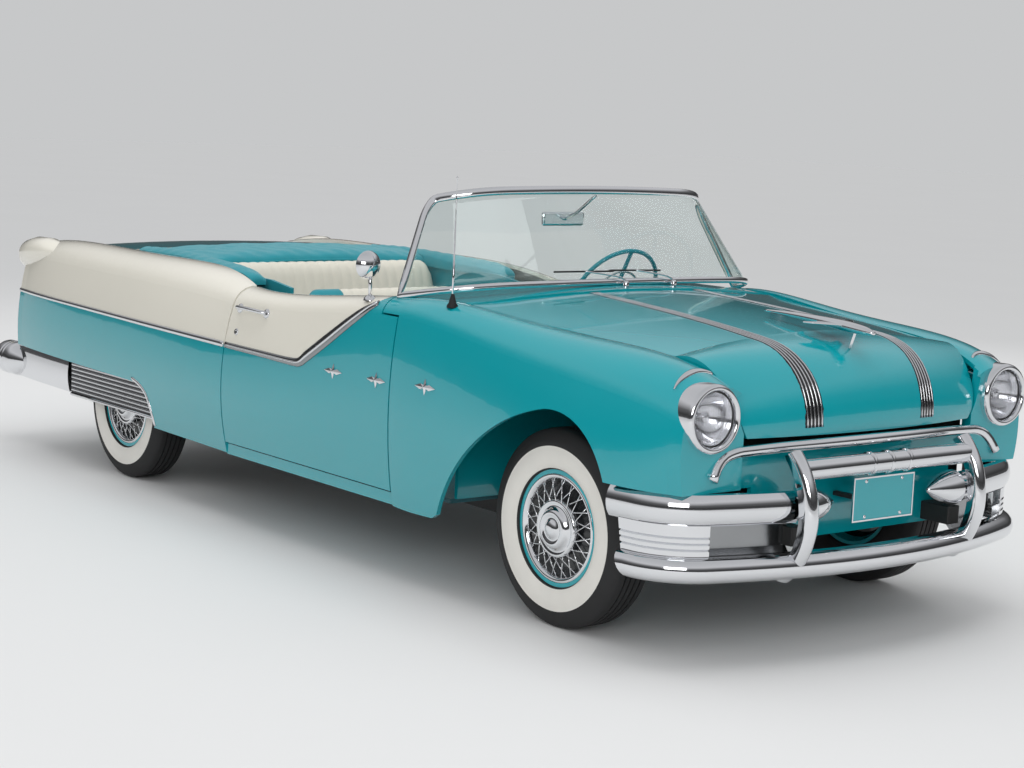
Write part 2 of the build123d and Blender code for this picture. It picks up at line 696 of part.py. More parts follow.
with BuildPart() as springs:
    with BuildSketch(Plane.XZ.offset(-540.0)):
        with BuildLine():
            Polyline((-660.0, 300.0), (rear_axle_x, 305.0), (-2050.0, 440.0), (-2050.0, 412.0), (rear_axle_x, 270.0),
                     (-660.0, 270.0), close=True)
        make_face()
    extrude(amount=60.0)
save(both_sides(springs.part), "leaf_springs")

with BuildPart() as front_suspension:
    with Locations((front_axle_x, 0, 250.0)):
        Box(120.0, 900.0, 70.0, align=(Align.CENTER, Align.CENTER, Align.MIN))
    for side in (-1, 1):
        with Locations((front_axle_x, side * 500.0, 225.0)):
            Box(90.0, 220.0, 25.0, align=(Align.CENTER, Align.CENTER, Align.MIN))
        with Locations((front_axle_x, side * 530.0, 500.0)):
            Box(70.0, 180.0, 25.0, align=(Align.CENTER, Align.CENTER, Align.MIN))
save(front_suspension.part, "front_suspension")

with BuildPart() as knuckle:
    with BuildSketch(Plane.XY.offset(252.0)):
        with Locations((front_axle_x, kingpin_y - 40.0)):
            Circle(22.0)
    extrude(amount=246.0)
    with BuildSketch(Plane.XZ.offset(-kingpin_y + 60.0)):
        with Locations((front_axle_x, axle_z)):
            Circle(hub_bore - running_gap)
    extrude(amount=-(track_half + 60.0 - kingpin_y + 60.0))
save_pair(knuckle.part, "knuckle")

# Tyres and wheels, turned about the axle
with BuildPart() as tyre:
    with BuildSketch(Plane.YZ) as tyre_profile:
        with BuildLine():
            w = tyre_width / 2
            Polyline((-rim_width / 2, rim_radius), (rim_width / 2, rim_radius))
            Spline((rim_width / 2, rim_radius), (w, 275.0), (w - 14.0, 330.0))
            Line((w - 14.0, 330.0), (w - 30.0, tyre_radius))
            Line((w - 30.0, tyre_radius), (-w + 30.0, tyre_radius))
            Line((-w + 30.0, tyre_radius), (-w + 14.0, 330.0))
            Spline((-w + 14.0, 330.0), (-w, 275.0), (-rim_width / 2, rim_radius))
        make_face()
    revolve(axis=Axis.Y)

with BuildPart() as wheel:
    with BuildSketch(Plane.YZ) as wheel_profile:
        with BuildLine():
            h = rim_width / 2
            Polyline(
                (-h, rim_radius), (h, rim_radius), (h, rim_radius - 14.0), (30.0, 150.0), (46.0, 90.0), (60.0, 60.0),
                (60.0, hub_bore), (-30.0, hub_bore), (-30.0, 60.0), (10.0, 90.0), (0.0, 160.0),
                (-h, rim_radius - 14.0), close=True,
            )
        make_face()
    revolve(axis=Axis.Y)

for end, x in (("front", front_axle_x), ("rear", rear_axle_x)):
    for side, y in (("left", track_half), ("right", -track_half)):
        turn = 0 if y > 0 else 180
        for piece, name in ((tyre, "tyre"), (wheel, "wheel")):
            with BuildPart() as placed:
                with Locations(Location((x, y, axle_z), (0, 0, turn))):
                    add(piece.part)
            save(placed.part, f"{name}_{end}_{side}")
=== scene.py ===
"""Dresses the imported 1950s convertible: paint, chrome, glass, wire wheels, trim, seats, boot, lights and camera."""

from __future__ import annotations

import json
import logging
import math
from dataclasses import dataclass, field
from enum import Enum
from typing import Callable, Iterable, Optional, Sequence

import bmesh
import bpy
from mathutils import Matrix, Vector
from mathutils.bvhtree import BVHTree

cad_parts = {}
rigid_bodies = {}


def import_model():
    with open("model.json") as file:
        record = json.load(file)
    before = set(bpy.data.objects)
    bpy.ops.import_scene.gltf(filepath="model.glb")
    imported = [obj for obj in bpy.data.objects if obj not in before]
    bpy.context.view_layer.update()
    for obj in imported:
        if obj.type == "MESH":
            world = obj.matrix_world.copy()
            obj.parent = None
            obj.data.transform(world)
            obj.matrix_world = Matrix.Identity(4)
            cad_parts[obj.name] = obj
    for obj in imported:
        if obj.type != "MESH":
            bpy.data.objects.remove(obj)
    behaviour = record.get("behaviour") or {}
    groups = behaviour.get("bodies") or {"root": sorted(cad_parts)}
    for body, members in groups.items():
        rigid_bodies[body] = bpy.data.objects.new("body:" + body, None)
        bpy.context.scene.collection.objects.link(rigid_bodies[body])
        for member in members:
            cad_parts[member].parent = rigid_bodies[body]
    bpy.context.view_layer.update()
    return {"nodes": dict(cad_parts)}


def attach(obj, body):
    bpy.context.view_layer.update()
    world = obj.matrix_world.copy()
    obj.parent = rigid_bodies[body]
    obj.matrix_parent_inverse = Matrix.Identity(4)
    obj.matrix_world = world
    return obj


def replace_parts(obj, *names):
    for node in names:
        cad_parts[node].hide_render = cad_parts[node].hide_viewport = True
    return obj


LOG = logging.getLogger("convertible")
Pair = tuple[float, float]
Point = tuple[float, float, float]
Hit = tuple[Vector, Vector]
Trace = tuple[list[Vector], list[Vector], list[float]]
Socket = bpy.types.NodeSocket
Thing = bpy.types.Object

TURN = 2 * math.pi
TURQUOISE = (0.0, 0.32, 0.37)
IVORY = (0.80, 0.77, 0.68)
AHEAD = Vector((1, 0, 0))
ACROSS = Vector((0, 1, 0))
UP = Vector((0, 0, 1))


class Side(Enum):
    """The two sides of the car, by the sign of Y."""

    LEFT = 1
    RIGHT = -1

    @property
    def word(self) -> str:
        """The side's name in node and body names."""
        return self.name.lower()


# Finishes


class Graph:
    """A material's node tree, with short calls to add and join nodes."""

    def __init__(self, name: str) -> None:
        """Starts an empty material with its output node.

        Args:
            name: the material's name.
        """
        self.material = bpy.data.materials.new(name)
        self.material.use_nodes = True
        self.tree = self.material.node_tree
        self.tree.nodes.clear()
        self.output = self.tree.nodes.new("ShaderNodeOutputMaterial")

    def add(self, kind: str, **values: object) -> bpy.types.Node:
        """Adds a node, with values for its properties or, where none has the name, for its inputs.

        Args:
            kind: the node's type.
            **values: the values by name.

        Returns:
            The node.
        """
        node = self.tree.nodes.new(kind)
        for key, value in values.items():
            if hasattr(node, key) and not key[0].isupper():
                setattr(node, key, value)
            else:
                node.inputs[key.replace("_", " ")].default_value = value
        return node

    def join(self, source: Socket, target: Socket) -> None:
        """Links an output to an input."""
        self.tree.links.new(source, target)

    def math(self, operation: str, *values: object) -> Socket:
        """Adds a Math node on numbers or sockets.

        Args:
            operation: the operation's name.
            *values: its inputs.

        Returns:
            The output socket.
        """
        node = self.add("ShaderNodeMath", operation=operation)
        for socket, value in zip(node.inputs, values):
            if isinstance(value, Socket):
                self.join(value, socket)
            else:
                socket.default_value = value
        return node.outputs[0]

    def blend(self, factor: Socket, first: object, second: object) -> Socket:
        """Mixes two colours, each a socket or three numbers.

        Args:
            factor: 0 gives the first colour and 1 the second.
            first: a colour.
            second: the other one.

        Returns:
            The output socket.
        """
        mix = self.add("ShaderNodeMix", data_type="RGBA")
        self.join(factor, mix.inputs["Factor"])
        for name, value in (("A", first), ("B", second)):
            if isinstance(value, Socket):
                self.join(value, mix.inputs[name])
            else:
                mix.inputs[name].default_value = (*value, 1)
        return mix.outputs["Result"]

    def place(self) -> Socket:
        """The Object coordinates."""
        return self.add("ShaderNodeTexCoord").outputs["Object"]

    def axes(self) -> list[Socket]:
        """The X, Y and Z of the Object coordinates.

        Returns:
            The three sockets.
        """
        split = self.add("ShaderNodeSeparateXYZ")
        self.join(self.place(), split.inputs[0])
        return list(split.outputs)

    def noise(self, scale: float, detail: float = 4.0) -> Socket:
        """A noise value on Object coordinates.

        Args:
            scale: how fine it is.
            detail: how many finer layers it has.

        Returns:
            The output socket.
        """
        node = self.add("ShaderNodeTexNoise", Scale=scale, Detail=detail)
        self.join(self.place(), node.inputs["Vector"])
        return node.outputs[0]

    def spread(self, value: Socket, low: float, high: float) -> Socket:
        """Maps a value of 0 to 1 to a narrow range.

        Args:
            value: the value's socket.
            low: what 0 becomes.
            high: what 1 becomes.

        Returns:
            The output socket.
        """
        node = self.add("ShaderNodeMapRange", To_Min=low, To_Max=high)
        self.join(value, node.inputs["Value"])
        return node.outputs[0]

    def tint(self, colour: Sequence[float], amount: float, scale: float) -> Socket:
        """A colour that noise of a scale darkens in places, by a share of up to the amount."""
        return self.blend(self.noise(scale), [c * (1 - amount) for c in colour], colour)

    def bump(self, height: Socket, strength: float, distance: float) -> Socket:
        """A bump normal from a height.

        Args:
            height: the height's socket.
            strength: its strength.
            distance: its depth in metres.

        Returns:
            The output socket.
        """
        node = self.add("ShaderNodeBump", Strength=strength, Distance=distance)
        self.join(height, node.inputs["Height"])
        return node.outputs[0]

    def finish(self, shader: bpy.types.Node) -> bpy.types.Material:
        """Joins the shader to the output and returns the material."""
        self.join(shader.outputs[0], self.output.inputs["Surface"])
        return self.material


@dataclass(frozen=True)
class Finish:
    """A finish with one colour that varies a little, a roughness that varies a little, and a fine bump."""

    name: str
    colour: Point
    roughness: Pair = (0.4, 0.5)
    metallic: float = 0.0
    coat: float = 0.0
    bump_scale: float = 400.0
    bump_strength: float = 0.1
    bump_distance: float = 0.0005
    variation: float = 0.12
    variation_scale: float = 6.0
    sheen: float = 0.0
    specular: float = 0.5

    def shader(self, graph: Graph, colour: Optional[Socket] = None) -> bpy.types.Node:
        """The Principled shader with this finish's values, or with a given colour socket.

        Args:
            graph: the material's graph.
            colour: a socket that gives the colour.

        Returns:
            The shader node.
        """
        node = graph.add("ShaderNodeBsdfPrincipled", Metallic=self.metallic, Coat_Weight=self.coat,
                         Coat_Roughness=0.03, Sheen_Weight=self.sheen, Specular_IOR_Level=self.specular)
        source = colour or graph.tint(self.colour, self.variation, self.variation_scale)
        graph.join(source, node.inputs["Base Color"])
        graph.join(graph.spread(graph.noise(9.0), *self.roughness), node.inputs["Roughness"])
        grain = graph.noise(self.bump_scale, 2.0)
        graph.join(graph.bump(grain, self.bump_strength, self.bump_distance), node.inputs["Normal"])
        return node

    def make(self) -> bpy.types.Material:
        """Builds the material."""
        graph = Graph(self.name)
        return graph.finish(self.shader(graph))


@dataclass(frozen=True)
class TwoTonePaint(Finish):
    """Paint in two colours that part along the side spear and its slanting front end."""

    upper: Point = IVORY
    line_height: float = 0.7539
    line_slope: float = -0.01177
    front_x: float = 0.329
    front_z: float = 0.750
    front_slope: float = 1.6

    def make(self) -> bpy.types.Material:
        """Builds the material.

        Returns:
            The material.
        """
        graph = Graph(self.name)
        x, _, z = graph.axes()
        line = graph.math("ADD", graph.math("MULTIPLY", x, self.line_slope), self.line_height)
        above = graph.math("GREATER_THAN", graph.math("SUBTRACT", z, line), 0.0)
        slant = graph.math("MULTIPLY", graph.math("SUBTRACT", z, self.front_z), self.front_slope)
        front = graph.math("ADD", slant, self.front_x)
        behind = graph.math("LESS_THAN", graph.math("SUBTRACT", x, front), 0.0)
        colour = graph.blend(graph.math("MULTIPLY", above, behind), graph.tint(self.colour, 0.05, 3.0),
                             graph.tint(self.upper, 0.03, 3.0))
        return graph.finish(self.shader(graph, colour))


@dataclass(frozen=True)
class RoundWheelPaint(Finish):
    """The wheel's finish in rings about its axle: painted rim, a dish painted near-black as painted shade behind the
    wire spokes, bright hub.
    """

    centre: Point = (0.0, 0.0, 0.0)
    # Near-black on the dish: painted shade behind the wire spokes.
    dark: Point = (0.012, 0.014, 0.016)
    bright: Point = (0.80, 0.81, 0.83)
    dish_radius: float = 0.176
    hub_radius: float = 0.090

    def make(self) -> bpy.types.Material:
        """Builds the material.

        Returns:
            The material.
        """
        graph = Graph(self.name)
        x, _, z = graph.axes()
        across, up = graph.math("SUBTRACT", x, self.centre[0]), graph.math("SUBTRACT", z, self.centre[2])
        squares = graph.math("ADD", graph.math("MULTIPLY", across, across), graph.math("MULTIPLY", up, up))
        radius = graph.math("SQRT", squares)
        rim = graph.math("GREATER_THAN", radius, self.dish_radius)
        hub = graph.math("LESS_THAN", radius, self.hub_radius)
        node = self.shader(graph, graph.blend(hub, graph.blend(rim, self.dark, self.colour), self.bright))
        graph.join(hub, node.inputs["Metallic"])
        return graph.finish(node)


@dataclass(frozen=True)
class Glass(Finish):
    """Clear glass that lets light and shadow rays through."""

    clear: float = 0.85
    flutes: float = 0.0

    def make(self) -> bpy.types.Material:
        """Builds the material.

        Returns:
            The material.
        """
        graph = Graph(self.name)
        node = graph.add("ShaderNodeBsdfPrincipled", IOR=1.45, Base_Color=(*self.colour, 1),
                         Roughness=self.roughness[0], Transmission_Weight=1.0)
        if self.flutes:
            wave = graph.math("ABSOLUTE", graph.math("SINE", graph.math("MULTIPLY", graph.axes()[1], self.flutes)))
            graph.join(graph.bump(wave, 0.6, 0.002), node.inputs["Normal"])
        else:
            graph.join(graph.bump(graph.noise(3.0), 0.01, 0.001), node.inputs["Normal"])
        see_through = graph.add("ShaderNodeBsdfTransparent", Color=(*[0.5 + 0.5 * c for c in self.colour], 1))
        facing = graph.add("ShaderNodeLayerWeight", Blend=0.5)
        grazing = graph.math("POWER", facing.outputs["Facing"], 5.0)
        share = graph.math("MULTIPLY_ADD", grazing, 0.5, 1.0 - self.clear)
        path = graph.add("ShaderNodeLightPath")
        mix = graph.add("ShaderNodeMixShader")
        unshaded = graph.math("SUBTRACT", 1.0, path.outputs["Is Shadow Ray"])
        graph.join(graph.math("MULTIPLY", share, unshaded), mix.inputs[0])
        graph.join(see_through.outputs[0], mix.inputs[1])
        graph.join(node.outputs[0], mix.inputs[2])
        return graph.finish(mix)


@dataclass(frozen=True)
class Ribbed(Finish):
    """Metal with fine level grooves, which are painted near-black as painted shade."""

    pitch: float = 0.020
    depth: float = 0.004
    # The grooves' colour: painted shade in the grooves.
    groove: Point = (0.02, 0.02, 0.022)

    def make(self) -> bpy.types.Material:
        """Builds the material.

        Returns:
            The material.
        """
        graph = Graph(self.name)
        wave = graph.math("SINE", graph.math("MULTIPLY", graph.axes()[2], TURN / self.pitch))
        # Where the wave dips, the groove's painted shade takes the place of the metal's colour.
        land = graph.math("GREATER_THAN", wave, -0.2)
        node = self.shader(graph, graph.blend(land, self.groove, self.colour))
        graph.join(graph.bump(graph.spread(wave, 0.0, 1.0), 0.5, self.depth), node.inputs["Normal"])
        return graph.finish(node)


@dataclass(frozen=True)
class Cloth(Finish):
    """A cover with a fine weave."""

    thread: float = 0.0012

    def make(self) -> bpy.types.Material:
        """Builds the material.

        Returns:
            The material.
        """
        graph = Graph(self.name)
        warp, weft = [graph.math("SINE", graph.math("MULTIPLY", axis, math.pi / self.thread))
                      for axis in graph.axes()[:2]]
        node = self.shader(graph)
        graph.join(graph.bump(graph.math("MULTIPLY", warp, weft), 0.25, 0.0006), node.inputs["Normal"])
        return graph.finish(node)


class Palette:
    """Every finish of the car, made once and kept by name."""

    def __init__(self) -> None:
        """Makes every material."""
        self.made = {finish.name: finish.make() for finish in self.finishes()}

    @staticmethod
    def finishes() -> list[Finish]:
        """The list of finishes.

        Returns:
            The finishes.
        """
        paint = dict(roughness=(0.12, 0.2), coat=1.0, bump_scale=700.0, bump_strength=0.03, variation=0.05)
        leather = dict(bump_scale=520.0, bump_strength=0.25, variation_scale=18.0, sheen=0.1)
        return [
            Finish("turquoise_paint", TURQUOISE, **paint),
            TwoTonePaint("two_tone_paint", TURQUOISE, **paint),
            Finish("ivory_paint", IVORY, **paint),
            Finish("chrome", (0.82, 0.83, 0.85), (0.04, 0.10), 1.0, bump_scale=60.0, bump_strength=0.01,
                   variation=0.04),
            # A darker copy of the chrome: painted shade on the door spear's wide band and on the pan in the front
            # bumper's pocket.
            Finish("dark_chrome", (0.36, 0.37, 0.38), (0.12, 0.25), 1.0, bump_scale=80.0, bump_strength=0.02),
            Ribbed("grooved_chrome", (0.62, 0.63, 0.65), (0.10, 0.2), 1.0),
            Finish("tyre_rubber", (0.018, 0.018, 0.019), (0.6, 0.8), bump_scale=300.0, bump_strength=0.25),
            Finish("white_rubber", (0.78, 0.76, 0.71), (0.45, 0.6), bump_scale=260.0, bump_strength=0.12,
                   variation=0.10, variation_scale=14.0),
            Finish("black_rubber", (0.02, 0.02, 0.02), (0.5, 0.7), bump_scale=240.0, bump_strength=0.2),
            Glass("window_glass", (0.86, 0.93, 0.92), (0.0, 0.02), clear=0.95),
            Glass("lens_glass", (0.97, 0.98, 1.0), (0.02, 0.04), clear=0.75, flutes=300.0),
            Finish("red_lens", (0.42, 0.008, 0.01), (0.05, 0.12), coat=1.0, bump_scale=40.0, bump_strength=0.05),
            Finish("reflector", (0.9, 0.9, 0.92), (0.05, 0.12), 1.0, bump_scale=50.0, bump_strength=0.05),
            Finish("ivory_leather", (0.70, 0.67, 0.58), (0.38, 0.5), variation=0.10, **leather),
            Finish("turquoise_leather", (0.0, 0.26, 0.32), (0.34, 0.46), variation=0.14, **leather),
            Cloth("boot_cloth", (0.0, 0.27, 0.33), (0.5, 0.62), variation=0.15, variation_scale=10.0, sheen=0.2),
            Finish("ivory_plastic", (0.74, 0.72, 0.63), (0.2, 0.3), coat=0.5, bump_scale=90.0, bump_strength=0.03),
            Finish("floor_carpet", (0.0, 0.12, 0.15), (0.85, 0.95), bump_scale=900.0, bump_strength=0.8,
                   bump_distance=0.002, variation=0.35, variation_scale=160.0, sheen=0.4),
            Finish("underbody_black", (0.02, 0.02, 0.02), (0.45, 0.65), bump_scale=120.0, bump_strength=0.3,
                   variation=0.3, variation_scale=9.0),
            Finish("matte_black", (0.012, 0.012, 0.013), (0.6, 0.75), bump_scale=160.0, bump_strength=0.2),
            Finish("band_black", (0.016, 0.017, 0.019), (0.14, 0.22), 0.4, coat=0.6, bump_scale=90.0,
                   bump_strength=0.03),
            Finish("cast_iron", (0.05, 0.05, 0.05), (0.5, 0.7), 0.6, bump_scale=140.0, bump_strength=0.5,
                   variation=0.4, variation_scale=12.0),
        ]

    def __getitem__(self, name: str) -> bpy.types.Material:
        """The material of that name."""
        return self.made[name]


# Curves


def circle(steps: int) -> list[Pair]:
    """The cosine and sine of each step of a full turn."""
    return [(math.cos(TURN * k / steps), math.sin(TURN * k / steps)) for k in range(steps)]


def ellipse(x: float, y: float, z: float, wide: float, high: float, steps: int = 40, sign: int = 1) -> list[Point]:
    """An upright ellipse across the car about a centre, mirrored where the sign is -1."""
    return [(x, (y + wide * c) * sign, z + high * s) for c, s in circle(steps)]


def arc(first: Pair, middle: Pair, last: Pair, steps: int) -> list[Pair]:
    """Points on the circle from the first through the middle to the last, without the first.

    Args:
        first: the point that it starts from.
        middle: a point on it.
        last: its last point.
        steps: how many steps it has.

    Returns:
        The points.
    """
    (ax, ay), (bx, by), (cx, cy) = first, middle, last
    d = 2 * (ax * (by - cy) + bx * (cy - ay) + cx * (ay - by))
    a2, b2, c2 = ax * ax + ay * ay, bx * bx + by * by, cx * cx + cy * cy
    ux = (a2 * (by - cy) + b2 * (cy - ay) + c2 * (ay - by)) / d
    uy = (a2 * (cx - bx) + b2 * (ax - cx) + c2 * (bx - ax)) / d
    start = math.atan2(ay - uy, ax - ux)
    to_middle = (math.atan2(by - uy, bx - ux) - start) % TURN
    to_last = (math.atan2(cy - uy, cx - ux) - start) % TURN
    if to_middle > to_last:
        to_last -= TURN
    radius = math.hypot(ax - ux, ay - uy)
    angles = [start + to_last * k / steps for k in range(1, steps + 1)]
    return [(ux + radius * math.cos(a), uy + radius * math.sin(a)) for a in angles]


def outline(items: Sequence, steps: int = 8) -> list[Pair]:
    """A closed outline: each item is a point, or a pair of points that an arc runs through.

    Args:
        items: its points and pairs of points.
        steps: how many steps each arc has.

    Returns:
        The points.
    """
    points = [items[0]]
    for item in items[1:]:
        if isinstance(item[0], tuple):
            points += arc(points[-1], item[0], item[1], steps)
        else:
            points.append(item)
    return points


def resample(points: Sequence[Sequence[float]], step: float) -> list[tuple[float, ...]]:
    """Points about a step apart along a smooth curve through the given ones, which may have any dimension.

    Args:
        points: the given points.
        step: the wanted step.

    Returns:
        The points.
    """
    ends = [tuple(2 * a - b for a, b in zip(points[0], points[1])), *[tuple(p) for p in points],
            tuple(2 * a - b for a, b in zip(points[-1], points[-2]))]
    out: list[tuple[float, ...]] = []
    for p, a, b, q in zip(ends, ends[1:], ends[2:], ends[3:]):
        count = max(2, int(math.dist(a[:3], b[:3]) / step if len(a) > 2 else math.dist(a, b) / step))
        for t in [i / count for i in range(count)]:
            out.append(tuple(
                0.5 * (2 * s + (u - r) * t + (2 * r - 5 * s + 4 * u - v) * t * t + (3 * s - r - 3 * u + v) * t**3)
                for r, s, u, v in zip(p, a, b, q)
            ))
    out.append(tuple(points[-1]))
    return out


def along(points: Sequence[Vector], i: int) -> Vector:
    """The direction of a path at its point i."""
    return (points[min(i + 1, len(points) - 1)] - points[max(i - 1, 0)]).normalized()


# Mesh helpers


@dataclass
class Shop:
    """Turns points and faces into finished pieces that ride on the car."""

    palette: Palette
    count: int = 0

    def piece(self, name: str, vertices: Iterable[Sequence[float]], faces: Iterable[Sequence[int]],
              body: str = "chassis", finish: str = "chrome", smooth: bool = True) -> Thing:
        """Makes a mesh piece, turns its faces outwards, gives it a finish and lets it ride on a body.

        Args:
            name: the piece's name.
            vertices: its points, in metres.
            faces: its faces, as lists of point numbers.
            body: the body that it rides on.
            finish: the finish's name.
            smooth: whether its faces are shaded smooth.

        Returns:
            The object.
        """
        mesh = bpy.data.meshes.new(name)
        mesh.from_pydata([tuple(v) for v in vertices], [], [tuple(f) for f in faces])
        mesh.validate()
        work = bmesh.new()
        work.from_mesh(mesh)
        bmesh.ops.remove_doubles(work, verts=work.verts, dist=1e-6)
        bmesh.ops.recalc_face_normals(work, faces=work.faces)
        work.to_mesh(mesh)
        work.free()
        if smooth:
            mesh.shade_smooth()
        thing = bpy.data.objects.new(name, mesh)
        bpy.context.scene.collection.objects.link(thing)
        mesh.materials.append(self.palette[finish])
        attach(thing, body)
        LOG.info("%s on %s", name, body)
        self.count += 1
        return thing

    @staticmethod
    def sharpen(thing: Thing, angle: float) -> None:
        """Keeps edges sharper than an angle crisp under smooth shading."""
        thing.data.set_sharp_from_angle(angle=math.radians(angle))

    def stand_in(self, things: Iterable[Thing], node: str, angle: float) -> None:
        """Puts pieces in a CAD node's place, with edges sharper than the angle kept crisp.

        Args:
            things: the pieces.
            node: the CAD node's name.
            angle: the angle in degrees.
        """
        for thing in things:
            self.sharpen(thing, angle)
            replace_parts(thing, node)

    def second_finish(self, thing: Thing, finish: str, chosen: Callable[[Vector], bool]) -> None:
        """Gives a second finish to the faces whose centre is chosen by a test.

        Args:
            thing: the piece.
            finish: the finish's name.
            chosen: says whether a face's centre is chosen.
        """
        thing.data.materials.append(self.palette[finish])
        for face in thing.data.polygons:
            if chosen(face.center):
                face.material_index = 1

    def skinned(self, name: str, rings: Sequence[Sequence[Sequence[float]]], body: str = "chassis",
                finish: str = "chrome", closed: bool = False, smooth: bool = True) -> Thing:
        """Joins rings with as many points in each; the last joins the first, or else both ends are capped.

        Args:
            name: the piece's name.
            rings: the rings, each a list of points.
            body: the body that it rides on.
            finish: the finish's name.
            closed: whether the last ring joins the first.
            smooth: whether it is shaded smooth.

        Returns:
            The object.
        """
        size, count = len(rings[0]), len(rings)
        faces = [[i * size + k, i * size + (k + 1) % size, (i + 1) % count * size + (k + 1) % size,
                  (i + 1) % count * size + k] for i in range(count if closed else count - 1) for k in range(size)]
        if not closed:
            faces += [list(range(size)), list(range((count - 1) * size, count * size))]
        return self.piece(name, [point for ring in rings for point in ring], faces, body, finish, smooth)

    def turned(self, name: str, profile: Sequence[Pair], centre: Sequence[float], axis: Vector,
               body: str = "chassis", finish: str = "chrome", steps: int = 72, closed: bool = False) -> Thing:
        """Turns a profile about an axis.

        Args:
            name: the piece's name.
            profile: (distance along the axis, radius) points; a radius of 0 closes an end.
            centre: the point that the profile's distances start from.
            axis: the axis's direction.
            body: the body that it rides on.
            finish: the finish's name.
            steps: how many steps the turn has.
            closed: whether the profile's last point joins its first.

        Returns:
            The object.
        """
        axis = axis.normalized()
        side = axis.orthogonal().normalized()
        other = axis.cross(side)
        points: list[Vector] = []
        rings: list[list[int]] = []
        for distance, radius in profile:
            base = Vector(centre) + axis * distance
            if radius < 1e-6:
                points.append(base)
                rings.append([len(points) - 1] * steps)
                continue
            rings.append(list(range(len(points), len(points) + steps)))
            points += [base + side * (radius * c) + other * (radius * s) for c, s in circle(steps)]
        pairs = list(zip(rings, rings[1:])) + ([(rings[-1], rings[0])] if closed else [])
        faces = []
        for low, high in pairs:
            for i in range(steps):
                j = (i + 1) % steps
                face = list(dict.fromkeys([low[i], low[j], high[j], high[i]]))
                if len(face) > 2:
                    faces.append(face)
        return self.piece(name, points, faces, body, finish)

    def ribbon(self, name: str, trace: Trace, height: float,
               body: str = "chassis", finish: str = "chrome", steps: int = 6, sunk: float = 0.001) -> Thing:
        """A half-round strip that lies on a surface.

        Args:
            name: the piece's name.
            trace: the path's points, the surface's normals there and half the strip's widths.
            height: how far it stands proud.
            body: the body that it rides on.
            finish: the finish's name.
            steps: how many steps the half-round has.
            sunk: how far its back lies under the surface.

        Returns:
            The object.
        """
        rings = []
        for i, (point, normal, half) in enumerate(zip(*trace)):
            across = along(trace[0], i).cross(normal).normalized()
            rings.append([point + across * (half * math.cos(a)) + normal * (height * math.sin(a) ** 0.7 - sunk)
                          for a in [math.pi * k / steps for k in range(steps + 1)]])
        row, last = steps + 1, len(rings) - 1
        faces = [[i * row + k, i * row + k + 1, (i + 1) * row + k + 1, (i + 1) * row + k]
                 for i in range(last) for k in range(steps)]
        faces += [[i * row, (i + 1) * row, (i + 1) * row + steps, i * row + steps] for i in range(last)]
        faces += [list(range(row)), list(range(last * row, last * row + row))]
        return self.piece(name, [point for ring in rings for point in ring], faces, body, finish)

    def tube(self, name: str, path: Iterable[Sequence[float]], radius: float, body: str = "chassis",
             finish: str = "chrome", steps: int = 12) -> Thing:
        """A round rod along a path, closed at both ends.

        Args:
            name: the piece's name.
            path: the path's points.
            radius: the rod's radius.
            body: the body that it rides on.
            finish: the finish's name.
            steps: how many sides the rod has.

        Returns:
            The object.
        """
        points = [Vector(p) for p in path]
        rings, side = [], UP
        for i, point in enumerate(points):
            run = along(points, i)
            side = side - run * side.dot(run)
            side = side.normalized() if side.length > 1e-6 else run.orthogonal().normalized()
            other = run.cross(side)
            rings.append([point + side * (radius * c) + other * (radius * s) for c, s in circle(steps)])
        return self.skinned(name, rings, body, finish)

    def block(self, name: str, low: Point, high: Point, finish: str = "underbody_black", soft: float = 0.003,
              body: str = "chassis") -> Thing:
        """A box between two corners, with softened edges.

        Args:
            name: the piece's name.
            low: the lowest corner.
            high: the highest corner.
            finish: the finish's name.
            soft: how wide its edges are bevelled.
            body: the body that it rides on.

        Returns:
            The object.
        """
        x, y, z = zip(low, high)
        ring = [(0, 0), (1, 0), (1, 1), (0, 1)]
        thing = self.skinned(name, [[(x[a], y[b], z[c]) for a, b in ring] for c in (0, 1)], body, finish)
        self.soften(thing, soft)
        self.sharpen(thing, 30.0)
        return thing

    @staticmethod
    def soften(thing: Thing, width: float) -> None:
        """Bevels a piece's edges."""
        bevel = thing.modifiers.new("soft", "BEVEL")
        bevel.width, bevel.segments = width, 2


@dataclass
class Probe:
    """Finds points and outward normals on the surface of some CAD nodes."""

    nodes: Sequence[Thing]
    tree: BVHTree = field(init=False)

    def __post_init__(self) -> None:
        """Builds the search tree."""
        vertices: list[Vector] = []
        faces: list[tuple[int, ...]] = []
        for node in self.nodes:
            base = len(vertices)
            vertices += [v.co.copy() for v in node.data.vertices]
            faces += [tuple(base + i for i in p.vertices) for p in node.data.polygons]
        self.tree = BVHTree.FromPolygons(vertices, faces)

    def cast(self, origin: Vector, direction: Vector) -> Optional[Hit]:
        """The first hit from an origin, and its normal turned towards the origin.

        Args:
            origin: where the ray starts.
            direction: the way it goes.

        Returns:
            The hit, or None.
        """
        hit, normal, _, _ = self.tree.ray_cast(origin, direction)
        if hit is None:
            return None
        return hit, (-normal if normal.dot(direction) > 0 else normal)

    def drop(self, x: float, y: float, start: float, other: float) -> Vector:
        """The highest point at x and y below a start height, or the one at the other height where none is hit."""
        found = self.cast(Vector((x, y, start)), -UP)
        return found[0] if found else Vector((x, y, other))

    def side(self, x: float, z: float, side: Side) -> Optional[Hit]:
        """The body side's point at x and z."""
        return self.cast(Vector((x, side.value * 2.0, z)), Vector((0, -side.value, 0)))

    def nearest(self, point: Vector, outward: Vector) -> Hit:
        """The nearest point of the surface, with its normal turned outwards."""
        hit, normal, _, _ = self.tree.find_nearest(point)
        return hit, (-normal if normal.dot(outward) < 0 else normal)

    def trace(self, rows: Iterable[Point], side: Side) -> Trace:
        """The side's points and normals at rows of x, z and half width, with the widths.

        Args:
            rows: the rows.
            side: the side of the car.

        Returns:
            The points, the normals and the half widths.
        """
        kept = [(*hit, half) for hit, half in [(self.side(x, z, side), half) for x, z, half in rows] if hit]
        points, normals, widths = [list(column) for column in zip(*kept)]
        return points, normals, widths


